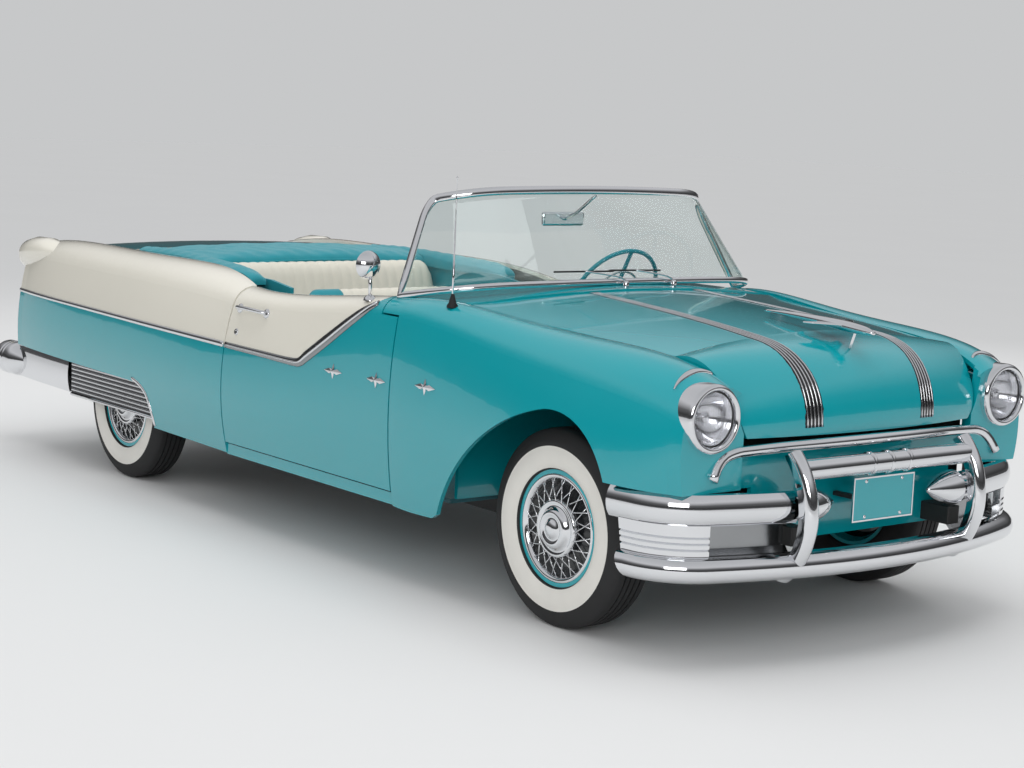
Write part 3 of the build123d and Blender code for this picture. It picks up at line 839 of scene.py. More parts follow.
class PolarArray:
    """A Geometry Nodes tree that repeats a piece about the Y axis and moves the ring to its place."""

    def __init__(self, name: str) -> None:
        """Builds the tree, with inputs for the piece, its count, its phase, its place and its finish.

        Args:
            name: the tree's name.
        """
        tree = bpy.data.node_groups.new(name, "GeometryNodeTree")
        self.tree = tree
        self.inputs = [tree.interface.new_socket(label, in_out="INPUT", socket_type=f"NodeSocket{kind}")
                       for label, kind in (("Geometry", "Geometry"), ("Count", "Int"), ("Phase", "Float"),
                                           ("Place", "Vector"), ("Finish", "Material"))]
        tree.interface.new_socket("Geometry", in_out="OUTPUT", socket_type="NodeSocketGeometry")
        kinds = ("NodeGroupInput", "NodeGroupOutput", "GeometryNodePoints", "GeometryNodeInputIndex",
                 "ShaderNodeMath", "ShaderNodeMath", "ShaderNodeCombineXYZ", "GeometryNodeInstanceOnPoints",
                 "GeometryNodeTransform", "GeometryNodeRealizeInstances", "GeometryNodeSetMaterial")
        source, result, points, index, turn, angle, euler, copies, move, real, coat = [
            tree.nodes.new(kind) for kind in kinds]
        turn.operation, angle.operation = "DIVIDE", "MULTIPLY_ADD"
        turn.inputs[0].default_value = TURN
        for start, out, end, into in (
            (source, "Count", points, "Count"), (source, "Count", turn, 1), (index, 0, angle, 0), (turn, 0, angle, 1),
            (source, "Phase", angle, 2), (angle, 0, euler, "Y"), (points, 0, copies, "Points"),
            (source, "Geometry", copies, "Instance"), (euler, 0, copies, "Rotation"), (copies, 0, move, "Geometry"),
            (source, "Place", move, "Translation"), (move, 0, real, 0), (real, 0, coat, "Geometry"),
            (source, "Finish", coat, "Material"), (coat, 0, result, 0),
        ):
            tree.links.new(start.outputs[out], end.inputs[into])

    def repeat(self, thing: Thing, *values: object) -> None:
        """Turns a piece that lies about the origin into a plain mesh of its copies, in their place.

        Args:
            thing: the piece, which is changed.
            *values: the copies' count, the first one's turn in radians, the ring's centre and the material.
        """
        modifier = thing.modifiers.new("array", "NODES")
        modifier.node_group = self.tree
        for socket, value in zip(self.inputs[1:], values):
            modifier[socket.identifier] = value
        graph = bpy.context.evaluated_depsgraph_get()
        mesh = bpy.data.meshes.new_from_object(thing.evaluated_get(graph))
        thing.modifiers.clear()
        old, thing.data = thing.data, mesh
        bpy.data.meshes.remove(old)
        mesh.shade_smooth()


# The car's sub-assemblies


def dress(thing: Thing, material: bpy.types.Material) -> None:
    """Gives every slot of a CAD node one material.

    Args:
        thing: the CAD node's object.
        material: the material.
    """
    if not thing.material_slots:
        thing.data.materials.append(material)
    for spot in thing.material_slots:
        spot.link = "OBJECT"
        spot.material = material


@dataclass
class Bodywork:
    """The CAD nodes that are shown as they are, by their finish; those of the two sides by the common name."""

    palette: Palette
    finishes: tuple[tuple[str, str], ...] = (
        ("turquoise_paint", "front_fender door_sills hood cowl trunk_lid tail_panel pillar_feet grille_back "
                            "dashboard steering_column"),
        ("two_tone_paint", "door rear_quarter rear_deck"),
        ("turquoise_leather", "rear_side_panels steering_wheel"), ("grooved_chrome", "fender_skirts"),
        ("floor_carpet", "floor_pan"), ("underbody_black", "rear_floor chassis_frame"), ("matte_black", "radiator"),
        ("cast_iron", "engine_block driveshaft rear_axle leaf_springs front_suspension knuckle"),
    )

    def build(self, nodes: dict[str, Thing]) -> None:
        """Gives every such node its finish.

        Args:
            nodes: the frame's CAD objects by name.
        """
        wanted = {name: finish for finish, names in self.finishes for name in names.split()}
        for name, thing in nodes.items():
            finish = wanted.get(name.removesuffix("_left").removesuffix("_right"))
            if finish:
                dress(thing, self.palette[finish])


@dataclass
class WheelSet:
    """The four whitewall tyres, painted rims and wire covers."""

    shop: Shop
    axles: tuple[tuple[str, float], ...] = (("front", 1.790), ("rear", -1.360))
    half_track: float = 0.745
    axle_z: float = 0.350
    tread_radius: float = 0.350
    half_width: float = 0.092
    white_band: Pair = (0.211, 0.2885)
    grooves: tuple[float, ...] = (0.036, 0.012, -0.012, -0.036)
    spokes: int = 20
    spoke_radius: float = 0.0022
    spoke_reach: float = 0.176
    laces: tuple[Point, ...] = ((0.30, 0.079, 0.058), (-0.30, 0.074, 0.064))
    ring: tuple[Pair, ...] = (
        (0.058, 0.192), (0.066, 0.1935), (0.071, 0.190), (0.0725, 0.184), (0.069, 0.177), (0.060, 0.171),
        (0.050, 0.168), (0.046, 0.170), (0.052, 0.180),
    )
    hub: tuple[Pair, ...] = (
        (0.060, 0.104), (0.074, 0.103), (0.080, 0.098), (0.080, 0.090), (0.076, 0.084), (0.078, 0.076),
        (0.088, 0.070), (0.096, 0.062), (0.098, 0.052), (0.093, 0.046), (0.092, 0.036), (0.099, 0.030),
        (0.105, 0.020), (0.107, 0.010), (0.1075, 0.0),
    )

    def tyre_profile(self) -> list[Pair]:
        """The tyre's section from the outer bead over the tread to the inner bead: along and radius.

        Returns:
            The section's points.
        """
        w, r = self.half_width, self.tread_radius
        wall = [(0.070, 0.205), (0.076, 0.2075), (0.0795, 0.211), (w - 0.005, 0.226), (w - 0.0010, 0.246),
                (w - 0.0008, 0.262), (w - 0.002, 0.276), (w - 0.0042, 0.288), (w - 0.0036, 0.290), (w - 0.008, 0.308),
                (w - 0.014, 0.325), (w - 0.020, 0.337), (w - 0.026, 0.3445), (w - 0.032, 0.3480)]
        tread = [(groove + out, r - deep) for groove in self.grooves
                 for out, deep in ((0.0032, 0.0004), (0.0026, 0.007), (-0.0026, 0.007), (-0.0032, 0.0004))]
        return wall + tread + [(-a, b) for a, b in reversed(wall)]

    def tyre(self, name: str, side: Side, centre: Point) -> None:
        """Turns one tyre, with its white band, in place of its CAD solid.

        Args:
            name: the wheel's name.
            side: the side of the car.
            centre: the wheel's centre.
        """
        thing = self.shop.turned(f"tyre_body_{name}", self.tyre_profile(), centre, ACROSS * side.value,
                                 f"wheel_{name}", "tyre_rubber", 128, closed=True)
        low, high = self.white_band
        self.shop.second_finish(thing, "white_rubber", lambda place: (
            low < math.hypot(place.x - centre[0], place.z - centre[2]) < high
            and (place.y - centre[1]) * side.value > 0))
        self.shop.stand_in([thing], f"tyre_{name}", 40.0)

    def cover(self, name: str, side: Side, centre: Point, array: PolarArray) -> None:
        """The wire cover over the wheel's dish: bright outer ring, stepped hub cap and laced spokes.

        Args:
            name: the wheel's name.
            side: the side of the car.
            centre: the wheel's centre.
            array: the tree that repeats the spokes.
        """
        body, out = f"wheel_{name}", ACROSS * side.value
        self.shop.turned(f"cover_ring_{name}", self.ring, centre, out, body, steps=96, closed=True)
        self.shop.turned(f"hub_cap_{name}", self.hub, centre, out, body, steps=96)
        for lace, (lean, near, far) in enumerate(self.laces):
            end = (self.spoke_reach * math.cos(lean), far * side.value, self.spoke_reach * math.sin(lean))
            spoke = self.shop.tube(f"spokes_{lace}_{name}", [(0.098, near * side.value, 0.0), end],
                                   self.spoke_radius, body, steps=6)
            array.repeat(spoke, self.spokes, 0.16 * lace, centre, self.shop.palette["chrome"])

    def build(self, nodes: dict[str, Thing]) -> None:
        """Makes the four wheels.

        Args:
            nodes: the frame's CAD objects by name.
        """
        array = PolarArray("spoke_ring")
        for end, x in self.axles:
            for side in Side:
                name, centre = f"{end}_{side.word}", (x, side.value * self.half_track, self.axle_z)
                self.tyre(name, side, centre)
                self.cover(name, side, centre, array)
                paint = RoundWheelPaint(f"wheel_paint_{name}", TURQUOISE, (0.2, 0.3), coat=0.6, centre=centre)
                dress(nodes[f"wheel_{name}"], paint.make())


@dataclass
class SideTrim:
    """The spear along each side, its slanting front end, the star-shaped darts and the door's handle."""

    shop: Shop
    probes: dict[Side, Probe]
    spear: tuple[Point, ...] = (
        (-2.395, 0.7790, 0.010), (-1.60, 0.7727, 0.011), (-0.90, 0.7645, 0.012), (-0.262, 0.7570, 0.013),
    )
    door_spear: tuple[Point, ...] = (
        (-0.246, 0.7568, 0.013), (0.05, 0.7533, 0.014), (0.27, 0.7507, 0.016), (0.335, 0.757, 0.020),
        (0.375, 0.782, 0.024), (0.50, 0.858, 0.025), (0.62, 0.933, 0.023), (0.72, 0.992, 0.019), (0.800, 1.036, 0.014),
    )
    darts: tuple[tuple[float, float, bool], ...] = ((0.579, 0.750, True), (0.871, 0.754, True), (1.182, 0.769, False))
    dart_points: int = 16
    handle_x: Pair = (-0.185, 0.030)
    handle_z: float = 0.914
    lock: Pair = (-0.174, 0.818)

    def strip(self, name: str, rows: Sequence[Point], side: Side, body: str, finish: str, height: float,
              scale: float = 1.0) -> None:
        """One strip along the side, through rows of x, z and half width."""
        points, normals, widths = self.probes[side].trace(resample(rows, 0.02), side)
        self.shop.ribbon(f"{name}_{side.word}", (points, normals, [w * scale for w in widths]), height, body, finish)

    def star(self, name: str, x: float, z: float, side: Side, body: str) -> None:
        """A long four-pointed star with a raised middle.

        Args:
            name: the piece's name.
            x: where its middle lies along the car.
            z: its middle's height.
            side: the side of the car.
            body: the body that it rides on.
        """
        probe, n = self.probes[side], self.dart_points
        point, normal = probe.side(x, z, side)
        level = (AHEAD - normal * AHEAD.dot(normal)).normalized()
        up = normal.cross(level)
        up = up if up.z > 0 else -up
        rim = []
        for k in range(n):
            a = TURN * k / n
            sharp = abs(math.cos(2 * a)) ** 3
            length = 0.010 + sharp * (0.052 if abs(math.cos(a)) > 0.7 else 0.020)
            place = point + level * (length * math.cos(a)) + up * (length * math.sin(a))
            again = probe.side(place.x, place.z, side)
            rim.append(again[0] if again else place)
        vertices = [p - normal * 0.002 for p in rim] + [p + normal * 0.003 for p in rim] + [point + normal * 0.011]
        faces = [[k, (k + 1) % n, n + (k + 1) % n, n + k] for k in range(n)]
        faces += [[n + k, n + (k + 1) % n, 2 * n] for k in range(n)] + [list(range(n))]
        self.shop.piece(name, vertices, faces, body, smooth=False)

    def handle(self, side: Side) -> None:
        """The pull handle on its two feet, and the lock under it.

        Args:
            side: the side of the car.
        """
        body = f"door_{side.word}"
        (rear, n0), (front, n1) = [self.probes[side].side(x, self.handle_z, side) for x in self.handle_x]
        path = [rear + n0 * 0.004, rear + n0 * 0.030 + (front - rear) * 0.10, rear.lerp(front, 0.5) + n0 * 0.036,
                front + n1 * 0.030 - (front - rear) * 0.10, front + n1 * 0.004]
        self.shop.tube(f"door_pull_{side.word}", resample(path, 0.008), 0.0085, body, steps=16)
        for label, place, normal in (("front", front, n1), ("rear", rear, n0)):
            self.shop.turned(f"door_pull_{label}_{side.word}", [(-0.001, 0.020), (0.004, 0.020), (0.009, 0.014),
                             (0.010, 0.0)], place, normal, body, steps=32)
        place, normal = self.probes[side].side(*self.lock, side)
        self.shop.turned(f"door_lock_{side.word}", [(-0.001, 0.014), (0.003, 0.014), (0.006, 0.010), (0.004, 0.006),
                         (0.004, 0.0)], place, normal, body, steps=32)

    def build(self) -> None:
        """Makes the trim of both sides."""
        for side in Side:
            door = f"door_{side.word}"
            self.strip("spear_rear", self.spear, side, "chassis", "chrome", 0.009)
            # The spear's wide band is chrome darkened as painted shade; the narrow edge on it stays bright chrome.
            self.strip("spear_door", self.door_spear, side, door, "dark_chrome", 0.008)
            self.strip("spear_edge", self.door_spear, side, door, "chrome", 0.012, 0.30)
            for index, (x, z, on_door) in enumerate(self.darts):
                self.star(f"dart_{index}_{side.word}", x, z, side, door if on_door else "chassis")
            self.handle(side)


@dataclass
class HoodTrim:
    """The two ribbed bands over the hood and the streamlined ornament between them."""

    shop: Shop
    probe: Probe
    # x, y, height to start the search from, lean and half width
    band: tuple[tuple[float, ...], ...] = (
        (1.20, 0.262, 1.11, 0.0, 0.0220), (1.55, 0.272, 1.09, 0.0, 0.0240), (1.80, 0.280, 1.075, 0.0, 0.0260),
        (2.05, 0.289, 1.055, 0.0, 0.0290), (2.24, 0.294, 1.03, 0.12, 0.0330), (2.34, 0.295, 1.00, 0.35, 0.0370),
        (2.40, 0.292, 0.955, 0.75, 0.0400), (2.44, 0.288, 0.895, 1.15, 0.0420), (2.463, 0.285, 0.83, 1.38, 0.0430),
        (2.470, 0.284, 0.772, 1.50, 0.0430),
    )
    ribs: int = 5
    spindle: tuple[tuple[float, ...], ...] = (
        (1.930, 1.101, 0.004, 0.004), (2.060, 1.100, 0.013, 0.010), (2.200, 1.095, 0.022, 0.015),
        (2.320, 1.087, 0.029, 0.019), (2.405, 1.080, 0.024, 0.016), (2.452, 1.075, 0.007, 0.006),
    )
    fin: tuple[Pair, ...] = (
        (1.960, 1.096), (2.370, 1.078), (2.345, 1.000), (2.250, 1.030), (2.100, 1.050), (1.960, 1.072),
    )
    fin_foot: float = 1.075
    fin_half: float = 0.007
    wing: tuple[Point, ...] = (
        (2.345, 0.010, 1.094), (2.262, 0.104, 1.096), (2.222, 0.112, 1.096), (2.236, 0.060, 1.095),
        (2.196, 0.006, 1.095),
    )
    wing_thick: float = 0.006

    def bands(self, side: Side) -> None:
        """Lays one band: a dark strip with thin bright ribs on it.

        Args:
            side: the side of the car.
        """
        points, normals, widths = [], [], []
        rows = [(x, y * side.value, z, lean, half) for x, y, z, lean, half in self.band]
        for x, y, z, lean, half in resample(rows, 0.012):
            out = Vector((math.sin(lean), 0.0, math.cos(lean)))
            found = self.probe.cast(Vector((x, y, z)) + out * 0.25, -out)
            if found:
                points.append(found[0])
                normals.append(found[1])
                widths.append(half)
        self.shop.ribbon(f"hood_band_{side.word}", (points, normals, widths), 0.0025, "hood", "band_black")
        for k in range(self.ribs):
            share = (k + 0.5) / self.ribs * 2 - 1
            line = [point + along(points, i).cross(normal).normalized() * (half * share * 0.92) + normal * 0.001
                    for i, (point, normal, half) in enumerate(zip(points, normals, widths))]
            self.shop.ribbon(f"hood_rib_{k}_{side.word}", (line, normals, [w * 0.075 for w in widths]), 0.0038, "hood",
                             steps=4)

    def ornament(self) -> None:
        """The long spindle on its fin, with small swept wings."""
        rings = [ellipse(x, 0.0, z, w, h, 20) for x, z, w, h in resample(self.spindle, 0.012)]
        self.shop.skinned("hood_spindle", rings, "hood")
        fin = [(x, z if z > self.fin_foot else self.probe.drop(x, 0.0, 1.5, 1.004).z - 0.004) for x, z in self.fin]
        self.shop.skinned("hood_fin", [[(x, y, z) for x, z in fin] for y in (-self.fin_half, self.fin_half)], "hood",
                          smooth=False)
        for side in Side:
            rings = [[(x, y * side.value, z - drop) for x, y, z in self.wing] for drop in (0.0, self.wing_thick)]
            self.shop.soften(self.shop.skinned(f"hood_wing_{side.word}", rings, "hood", smooth=False), 0.002)

    def build(self) -> None:
        """Makes the hood's trim."""
        for side in Side:
            self.bands(side)
        self.ornament()


@dataclass
class FrontLamps:
    """Each headlamp's bezel with the reflector and bulb inside it, and the bright crescent on the fender above."""

    shop: Shop
    probes: dict[Side, Probe]
    place: Point = (2.345, 0.732, 0.823)
    bowl_radius: float = 0.0895
    bezel: tuple[Pair, ...] = (
        (0.000, 0.1145), (0.050, 0.1150), (0.100, 0.1150), (0.106, 0.1138), (0.1125, 0.1100), (0.1168, 0.1040),
        (0.1160, 0.0985), (0.1120, 0.0945), (0.1040, 0.0915), (0.0940, 0.0905), (0.0930, 0.0880), (0.0700, 0.0800),
        (0.0450, 0.0640), (0.0250, 0.0450), (0.0120, 0.0220), (0.0080, 0.0),
    )
    bulb: tuple[Pair, ...] = ((0.008, 0.012), (0.045, 0.012), (0.050, 0.019), (0.062, 0.021), (0.070, 0.016),
                              (0.073, 0.0))
    lens: tuple[Pair, ...] = ((0.0930, 0.0), (0.0930, 0.0895), (0.0975, 0.0895), (0.1040, 0.0760), (0.1090, 0.0560),
                              (0.1120, 0.0300), (0.1130, 0.0))
    gasket: tuple[Pair, ...] = ((0.0935, 0.0890), (0.0990, 0.0925), (0.1005, 0.0900), (0.0960, 0.0870))
    brow: tuple[Point, ...] = (
        (2.352, 0.826, 0.915), (2.349, 0.806, 0.935), (2.346, 0.780, 0.950), (2.343, 0.748, 0.961),
        (2.340, 0.715, 0.965), (2.342, 0.685, 0.962), (2.348, 0.662, 0.950), (2.354, 0.650, 0.936),
    )

    def build(self) -> None:
        """Makes both lamps' pieces."""
        for side in Side:
            x, y, z = self.place
            centre = (x, y * side.value, z)
            shell = self.shop.turned(f"lamp_bezel_{side.word}", self.bezel, centre, AHEAD, steps=96)
            self.shop.second_finish(shell, "reflector", lambda spot, c=centre: (
                math.hypot(spot.y - c[1], spot.z - c[2]) < self.bowl_radius))
            self.shop.stand_in([shell], "headlamps", 50.0)
            self.shop.turned(f"lamp_bulb_{side.word}", self.bulb, centre, AHEAD, finish="reflector", steps=32)
            lens = self.shop.turned(f"lamp_lens_{side.word}", self.lens, centre, AHEAD, finish="lens_glass")
            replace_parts(lens, "headlamps")
            self.shop.turned(f"lamp_gasket_{side.word}", self.gasket, centre, AHEAD, finish="black_rubber",
                             closed=True)
            self.crescent(side)

    def crescent(self, side: Side) -> None:
        """The bright crescent that stands on the fender over the lamp.

        Args:
            side: the side of the car.
        """
        rows = resample([(x, y * side.value, z) for x, y, z in self.brow], 0.008)
        hits = [self.probes[side].nearest(Vector(row), Vector((0.5, 0, 1))) for row in rows]
        normals = [(normal + Vector((0.9, 0, 0.2))).normalized() for _, normal in hits]
        widths = [0.003 + 0.010 * math.sin(math.pi * i / (len(rows) - 1)) for i in range(len(rows))]
        self.shop.ribbon(f"lamp_brow_{side.word}", ([hit for hit, _ in hits], normals, widths), 0.014, sunk=0.006)


@dataclass
class FrontEnd:
    """The front bumper's bars and guards, the bullets, the grille's bar and arch, and the blank plate.

    The bars' plan and sections are in millimetres: a long front arc, a tight turn and a straight side.
    """

    shop: Shop
    reach: float = 2600.0
    sweep: float = 2320.0
    turn: float = 260.0
    turn_angle: float = 18.6
    side_angle: float = 83.0
    side_run: float = 100.0
    plan_steps: int = 24
    guard_y: float = 425.0
    guard_half: float = 27.0
    guard_start: float = 10.6
    corner_start: float = 22.0
    roll: tuple = ((-45.0, 475.0), (-20.0, 475.0), ((0.0, 526.0), (-20.0, 577.0)), (-45.0, 577.0))
    lower: tuple = ((-40.0, 290.0), (-4.0, 290.0), ((24.0, 335.0), (-8.0, 374.0)), (-40.0, 374.0))
    corner: tuple = (
        (-45.0, 372.0), (-17.0, 372.0), (-17.0, 392.0), (-24.0, 396.0), (-17.0, 400.0), (-17.0, 412.0), (-24.0, 416.0),
        (-17.0, 420.0), (-17.0, 432.0), (-24.0, 436.0), (-17.0, 440.0), (-17.0, 477.0), (-45.0, 477.0),
    )
    pan: tuple = (
        (-38.0, 336.0), (-84.0, 384.0), (-84.0, 474.0), (-44.0, 520.0), (-44.0, 504.0), (-72.0, 470.0), (-72.0, 390.0),
        (-38.0, 354.0),
    )
    end_slant: tuple = ((288.0, 2265.0), (374.0, 2222.0), (480.0, 2205.0))
    arch: tuple[Point, ...] = (
        (2.505, 0.0, 0.722), (2.500, 0.14, 0.721), (2.485, 0.28, 0.718), (2.460, 0.42, 0.713), (2.436, 0.545, 0.706),
        (2.428, 0.600, 0.702), (2.424, 0.650, 0.688), (2.428, 0.685, 0.662), (2.438, 0.715, 0.618),
    )
    plate_z: float = 0.524

    def plan(self, start: float) -> list[tuple[float, float, float, float]]:
        """The bars' plan, from an angle on the long front arc to the end of the side: x, y and the way outwards.

        Args:
            start: the angle in degrees.

        Returns:
            The rows of the plan.
        """
        middle = self.reach - self.sweep
        turn = math.radians(self.turn_angle)
        inner = self.sweep - self.turn
        rows = []
        for x, y, radius, low, high in (
            (middle, 0.0, self.sweep, start, self.turn_angle),
            (middle + inner * math.cos(turn), inner * math.sin(turn), self.turn, self.turn_angle, self.side_angle),
        ):
            for i in range(self.plan_steps + 1 if high > low else 0):
                a = math.radians(low + (high - low) * i / self.plan_steps)
                row = (x + radius * math.cos(a), y + radius * math.sin(a), math.cos(a), math.sin(a))
                if not rows or math.dist(rows[-1][:2], row[:2]) > 0.5:
                    rows.append(row)
        x, y, ox, oy = rows[-1]
        return [*rows, (x - self.side_run * oy, y + self.side_run * ox, ox, oy)]

    def slanted(self, z: float) -> float:
        """Where the lower pieces end, clear of the tyre, at a height.

        Args:
            z: the height in millimetres.

        Returns:
            The x in millimetres.
        """
        for (z0, x0), (z1, x1) in zip(self.end_slant, self.end_slant[1:]):
            if z <= z1:
                return x0 + (x1 - x0) * (z - z0) / (z1 - z0)
        return self.end_slant[-1][1]

    def rings(self, items: Sequence, start: float, side: Side, slant: bool) -> list[list[Point]]:
        """The rings of half a bar.

        Args:
            items: the section's outline, as distance outwards and height.
            start: the plan's first angle in degrees.
            side: the side of the car.
            slant: whether the end is slanted.

        Returns:
            The rings, in metres.
        """
        section, plan = outline(items), self.plan(start)
        rings = [[(x + o * ox, y + o * oy, z) for o, z in section] for x, y, ox, oy in plan]
        if slant:
            ox, oy = plan[-1][2:]
            last = []
            for x, y, z in rings[-2]:
                run = max(1.0, (x - self.slanted(z)) / oy)
                last.append((x - run * oy, y + run * ox, z))
            rings[-1] = last
        return [[(x / 1000, y * side.value / 1000, z / 1000) for x, y, z in ring] for ring in rings]

    def bars(self) -> None:
        """The roll, the lower bar, the grooved corner and the pan behind the pocket, which is darkened as painted
        shade.
        """
        right, left = [self.rings(self.lower, 0.0, side, True) for side in (Side.RIGHT, Side.LEFT)]
        pieces = [self.shop.skinned("bumper_lower", right[::-1] + left[1:])]
        for side in Side:
            for name, items, start, slant, finish in (
                ("roll", self.roll, self.guard_start, False, "chrome"),
                ("corner", self.corner, self.corner_start, True, "chrome"),
                # The pan is chrome darkened as painted shade in the pocket.
                ("pan", self.pan, self.guard_start, True, "dark_chrome"),
            ):
                pieces.append(self.shop.skinned(f"bumper_{name}_{side.word}", self.rings(items, start, side, slant),
                                                finish=finish))
        self.shop.stand_in(pieces, "front_bumper", 28.0)

    def guards(self) -> None:
        """The two bows with their bullets."""
        b = self.reach
        front, back = [[first, *arc(first, middle, last, 30)] for first, middle, last in (
            ((b - 62.0, 716.0), (b + 32.0, 530.0), (b - 80.0, 268.0)),
            ((b - 102.0, 690.0), (b - 22.0, 524.0), (b - 126.0, 282.0)),
        )]
        wide = self.guard_half
        bow = [(0.50 + 0.50 * math.cos(a), wide * math.sin(a))
               for a in [math.pi * (k / 12 - 0.5) for k in range(1, 12)]]
        section = [(0.0, -wide), (0.35, -wide), *bow, (0.35, wide), (0.0, wide)]
        cone = [(a / 1000, r / 1000) for r, a in arc((62.0, 66.0), (52.0, 120.0), (14.0, 190.0), 12)]
        bullet = [(0.0, 0.044), (0.058, 0.044), (0.062, 0.052), (0.066, 0.062), *cone, (0.198, 0.009), (0.203, 0.0)]
        for side in Side:
            rings = [[((kx + (fx - kx) * u) / 1000, (self.guard_y * side.value + v) / 1000,
                       (kz + (fz - kz) * u) / 1000) for u, v in section] for (fx, fz), (kx, kz) in zip(front, back)]
            guard = self.shop.skinned(f"guard_{side.word}", rings)
            tip = self.shop.turned(f"bullet_{side.word}", bullet, ((b - 72.0) / 1000, 0.440 * side.value, 0.526),
                                   ACROSS * -side.value, steps=48)
            self.shop.stand_in([guard], "bumper_guards", 50.0)
            self.shop.stand_in([tip], "bumper_guards", 40.0)

    def grille(self) -> None:
        """The bar with three ribs and the arch over the mouth, with the bumpers' brackets and a black sheet of painted
        shade behind the mouth.
        """
        ribs = [(y + out, radius) for y in (-0.090, 0.0, 0.090) for out, radius in (
            (-0.0078, 0.036), (-0.006, 0.0395), (0.0, 0.0408), (0.006, 0.0395), (0.0078, 0.036))]
        profile = [(-0.415, 0.0), (-0.415, 0.036), *ribs, (0.415, 0.036), (0.415, 0.0)]
        bar = self.shop.turned("grille_roll", profile, (2.545, 0.0, 0.648), ACROSS, steps=48)
        self.shop.stand_in([bar], "grille_bar", 40.0)
        path = [(x, -y, z) for x, y, z in reversed(self.arch[1:])] + list(self.arch)
        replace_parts(self.shop.tube("grille_moulding", resample(path, 0.015), 0.019, steps=16), "grille_arch")
        for side in Side:
            y = 0.395 * side.value
            for name, low, high in (("arm", (2.300, 0.390), (2.528, 0.455)),
                                    ("arm_rear", (-2.560, 0.395), (-2.300, 0.460))):
                self.shop.block(f"bumper_{name}_{side.word}", (low[0], y - 0.030, low[1]),
                                (high[0], y + 0.030, high[1]))
        # A matte black sheet across the nose: painted shade in the cavity behind the grille.
        self.shop.block("nose_backing", (2.325, -0.64, 0.500), (2.331, 0.64, 0.765), "matte_black", 0.001)

    def plate(self) -> None:
        """The blank plate in its bright frame, with four bolts, on two arms from the mouth."""
        self.shop.block("plate_blank", (2.5375, -0.150, 0.450), (2.5405, 0.150, 0.598), "turquoise_paint", 0.001)
        loop = [(-0.1525, 0.448), (0.1525, 0.448), (0.1525, 0.600), (-0.1525, 0.600)]
        middle = self.plate_z
        rings = [[(x, y * wide, middle + (z - middle) * high) for y, z in loop] for x, wide, high in (
            (2.5365, 1.0, 1.0), (2.5430, 1.0, 1.0), (2.5430, 0.965, 0.93), (2.5365, 0.965, 0.93))]
        self.shop.sharpen(self.shop.skinned("plate_frame", rings, closed=True), 30.0)
        for index, (y, z) in enumerate(((-0.09, 0.585), (0.09, 0.585), (-0.09, 0.463), (0.09, 0.463))):
            self.shop.turned(f"plate_bolt_{index}", [(0.0, 0.0065), (0.003, 0.006), (0.0045, 0.003), (0.0045, 0.0)],
                             (2.5400, y, z), AHEAD, steps=16)
            if index < 2:
                self.shop.block(f"plate_arm_{index}", (2.402, y - 0.012, 0.515), (2.538, y + 0.012, 0.530), soft=0.002)

    def build(self) -> None:
        """Makes the front end's pieces."""
        self.bars()
        self.guards()
        self.grille()
        self.plate()


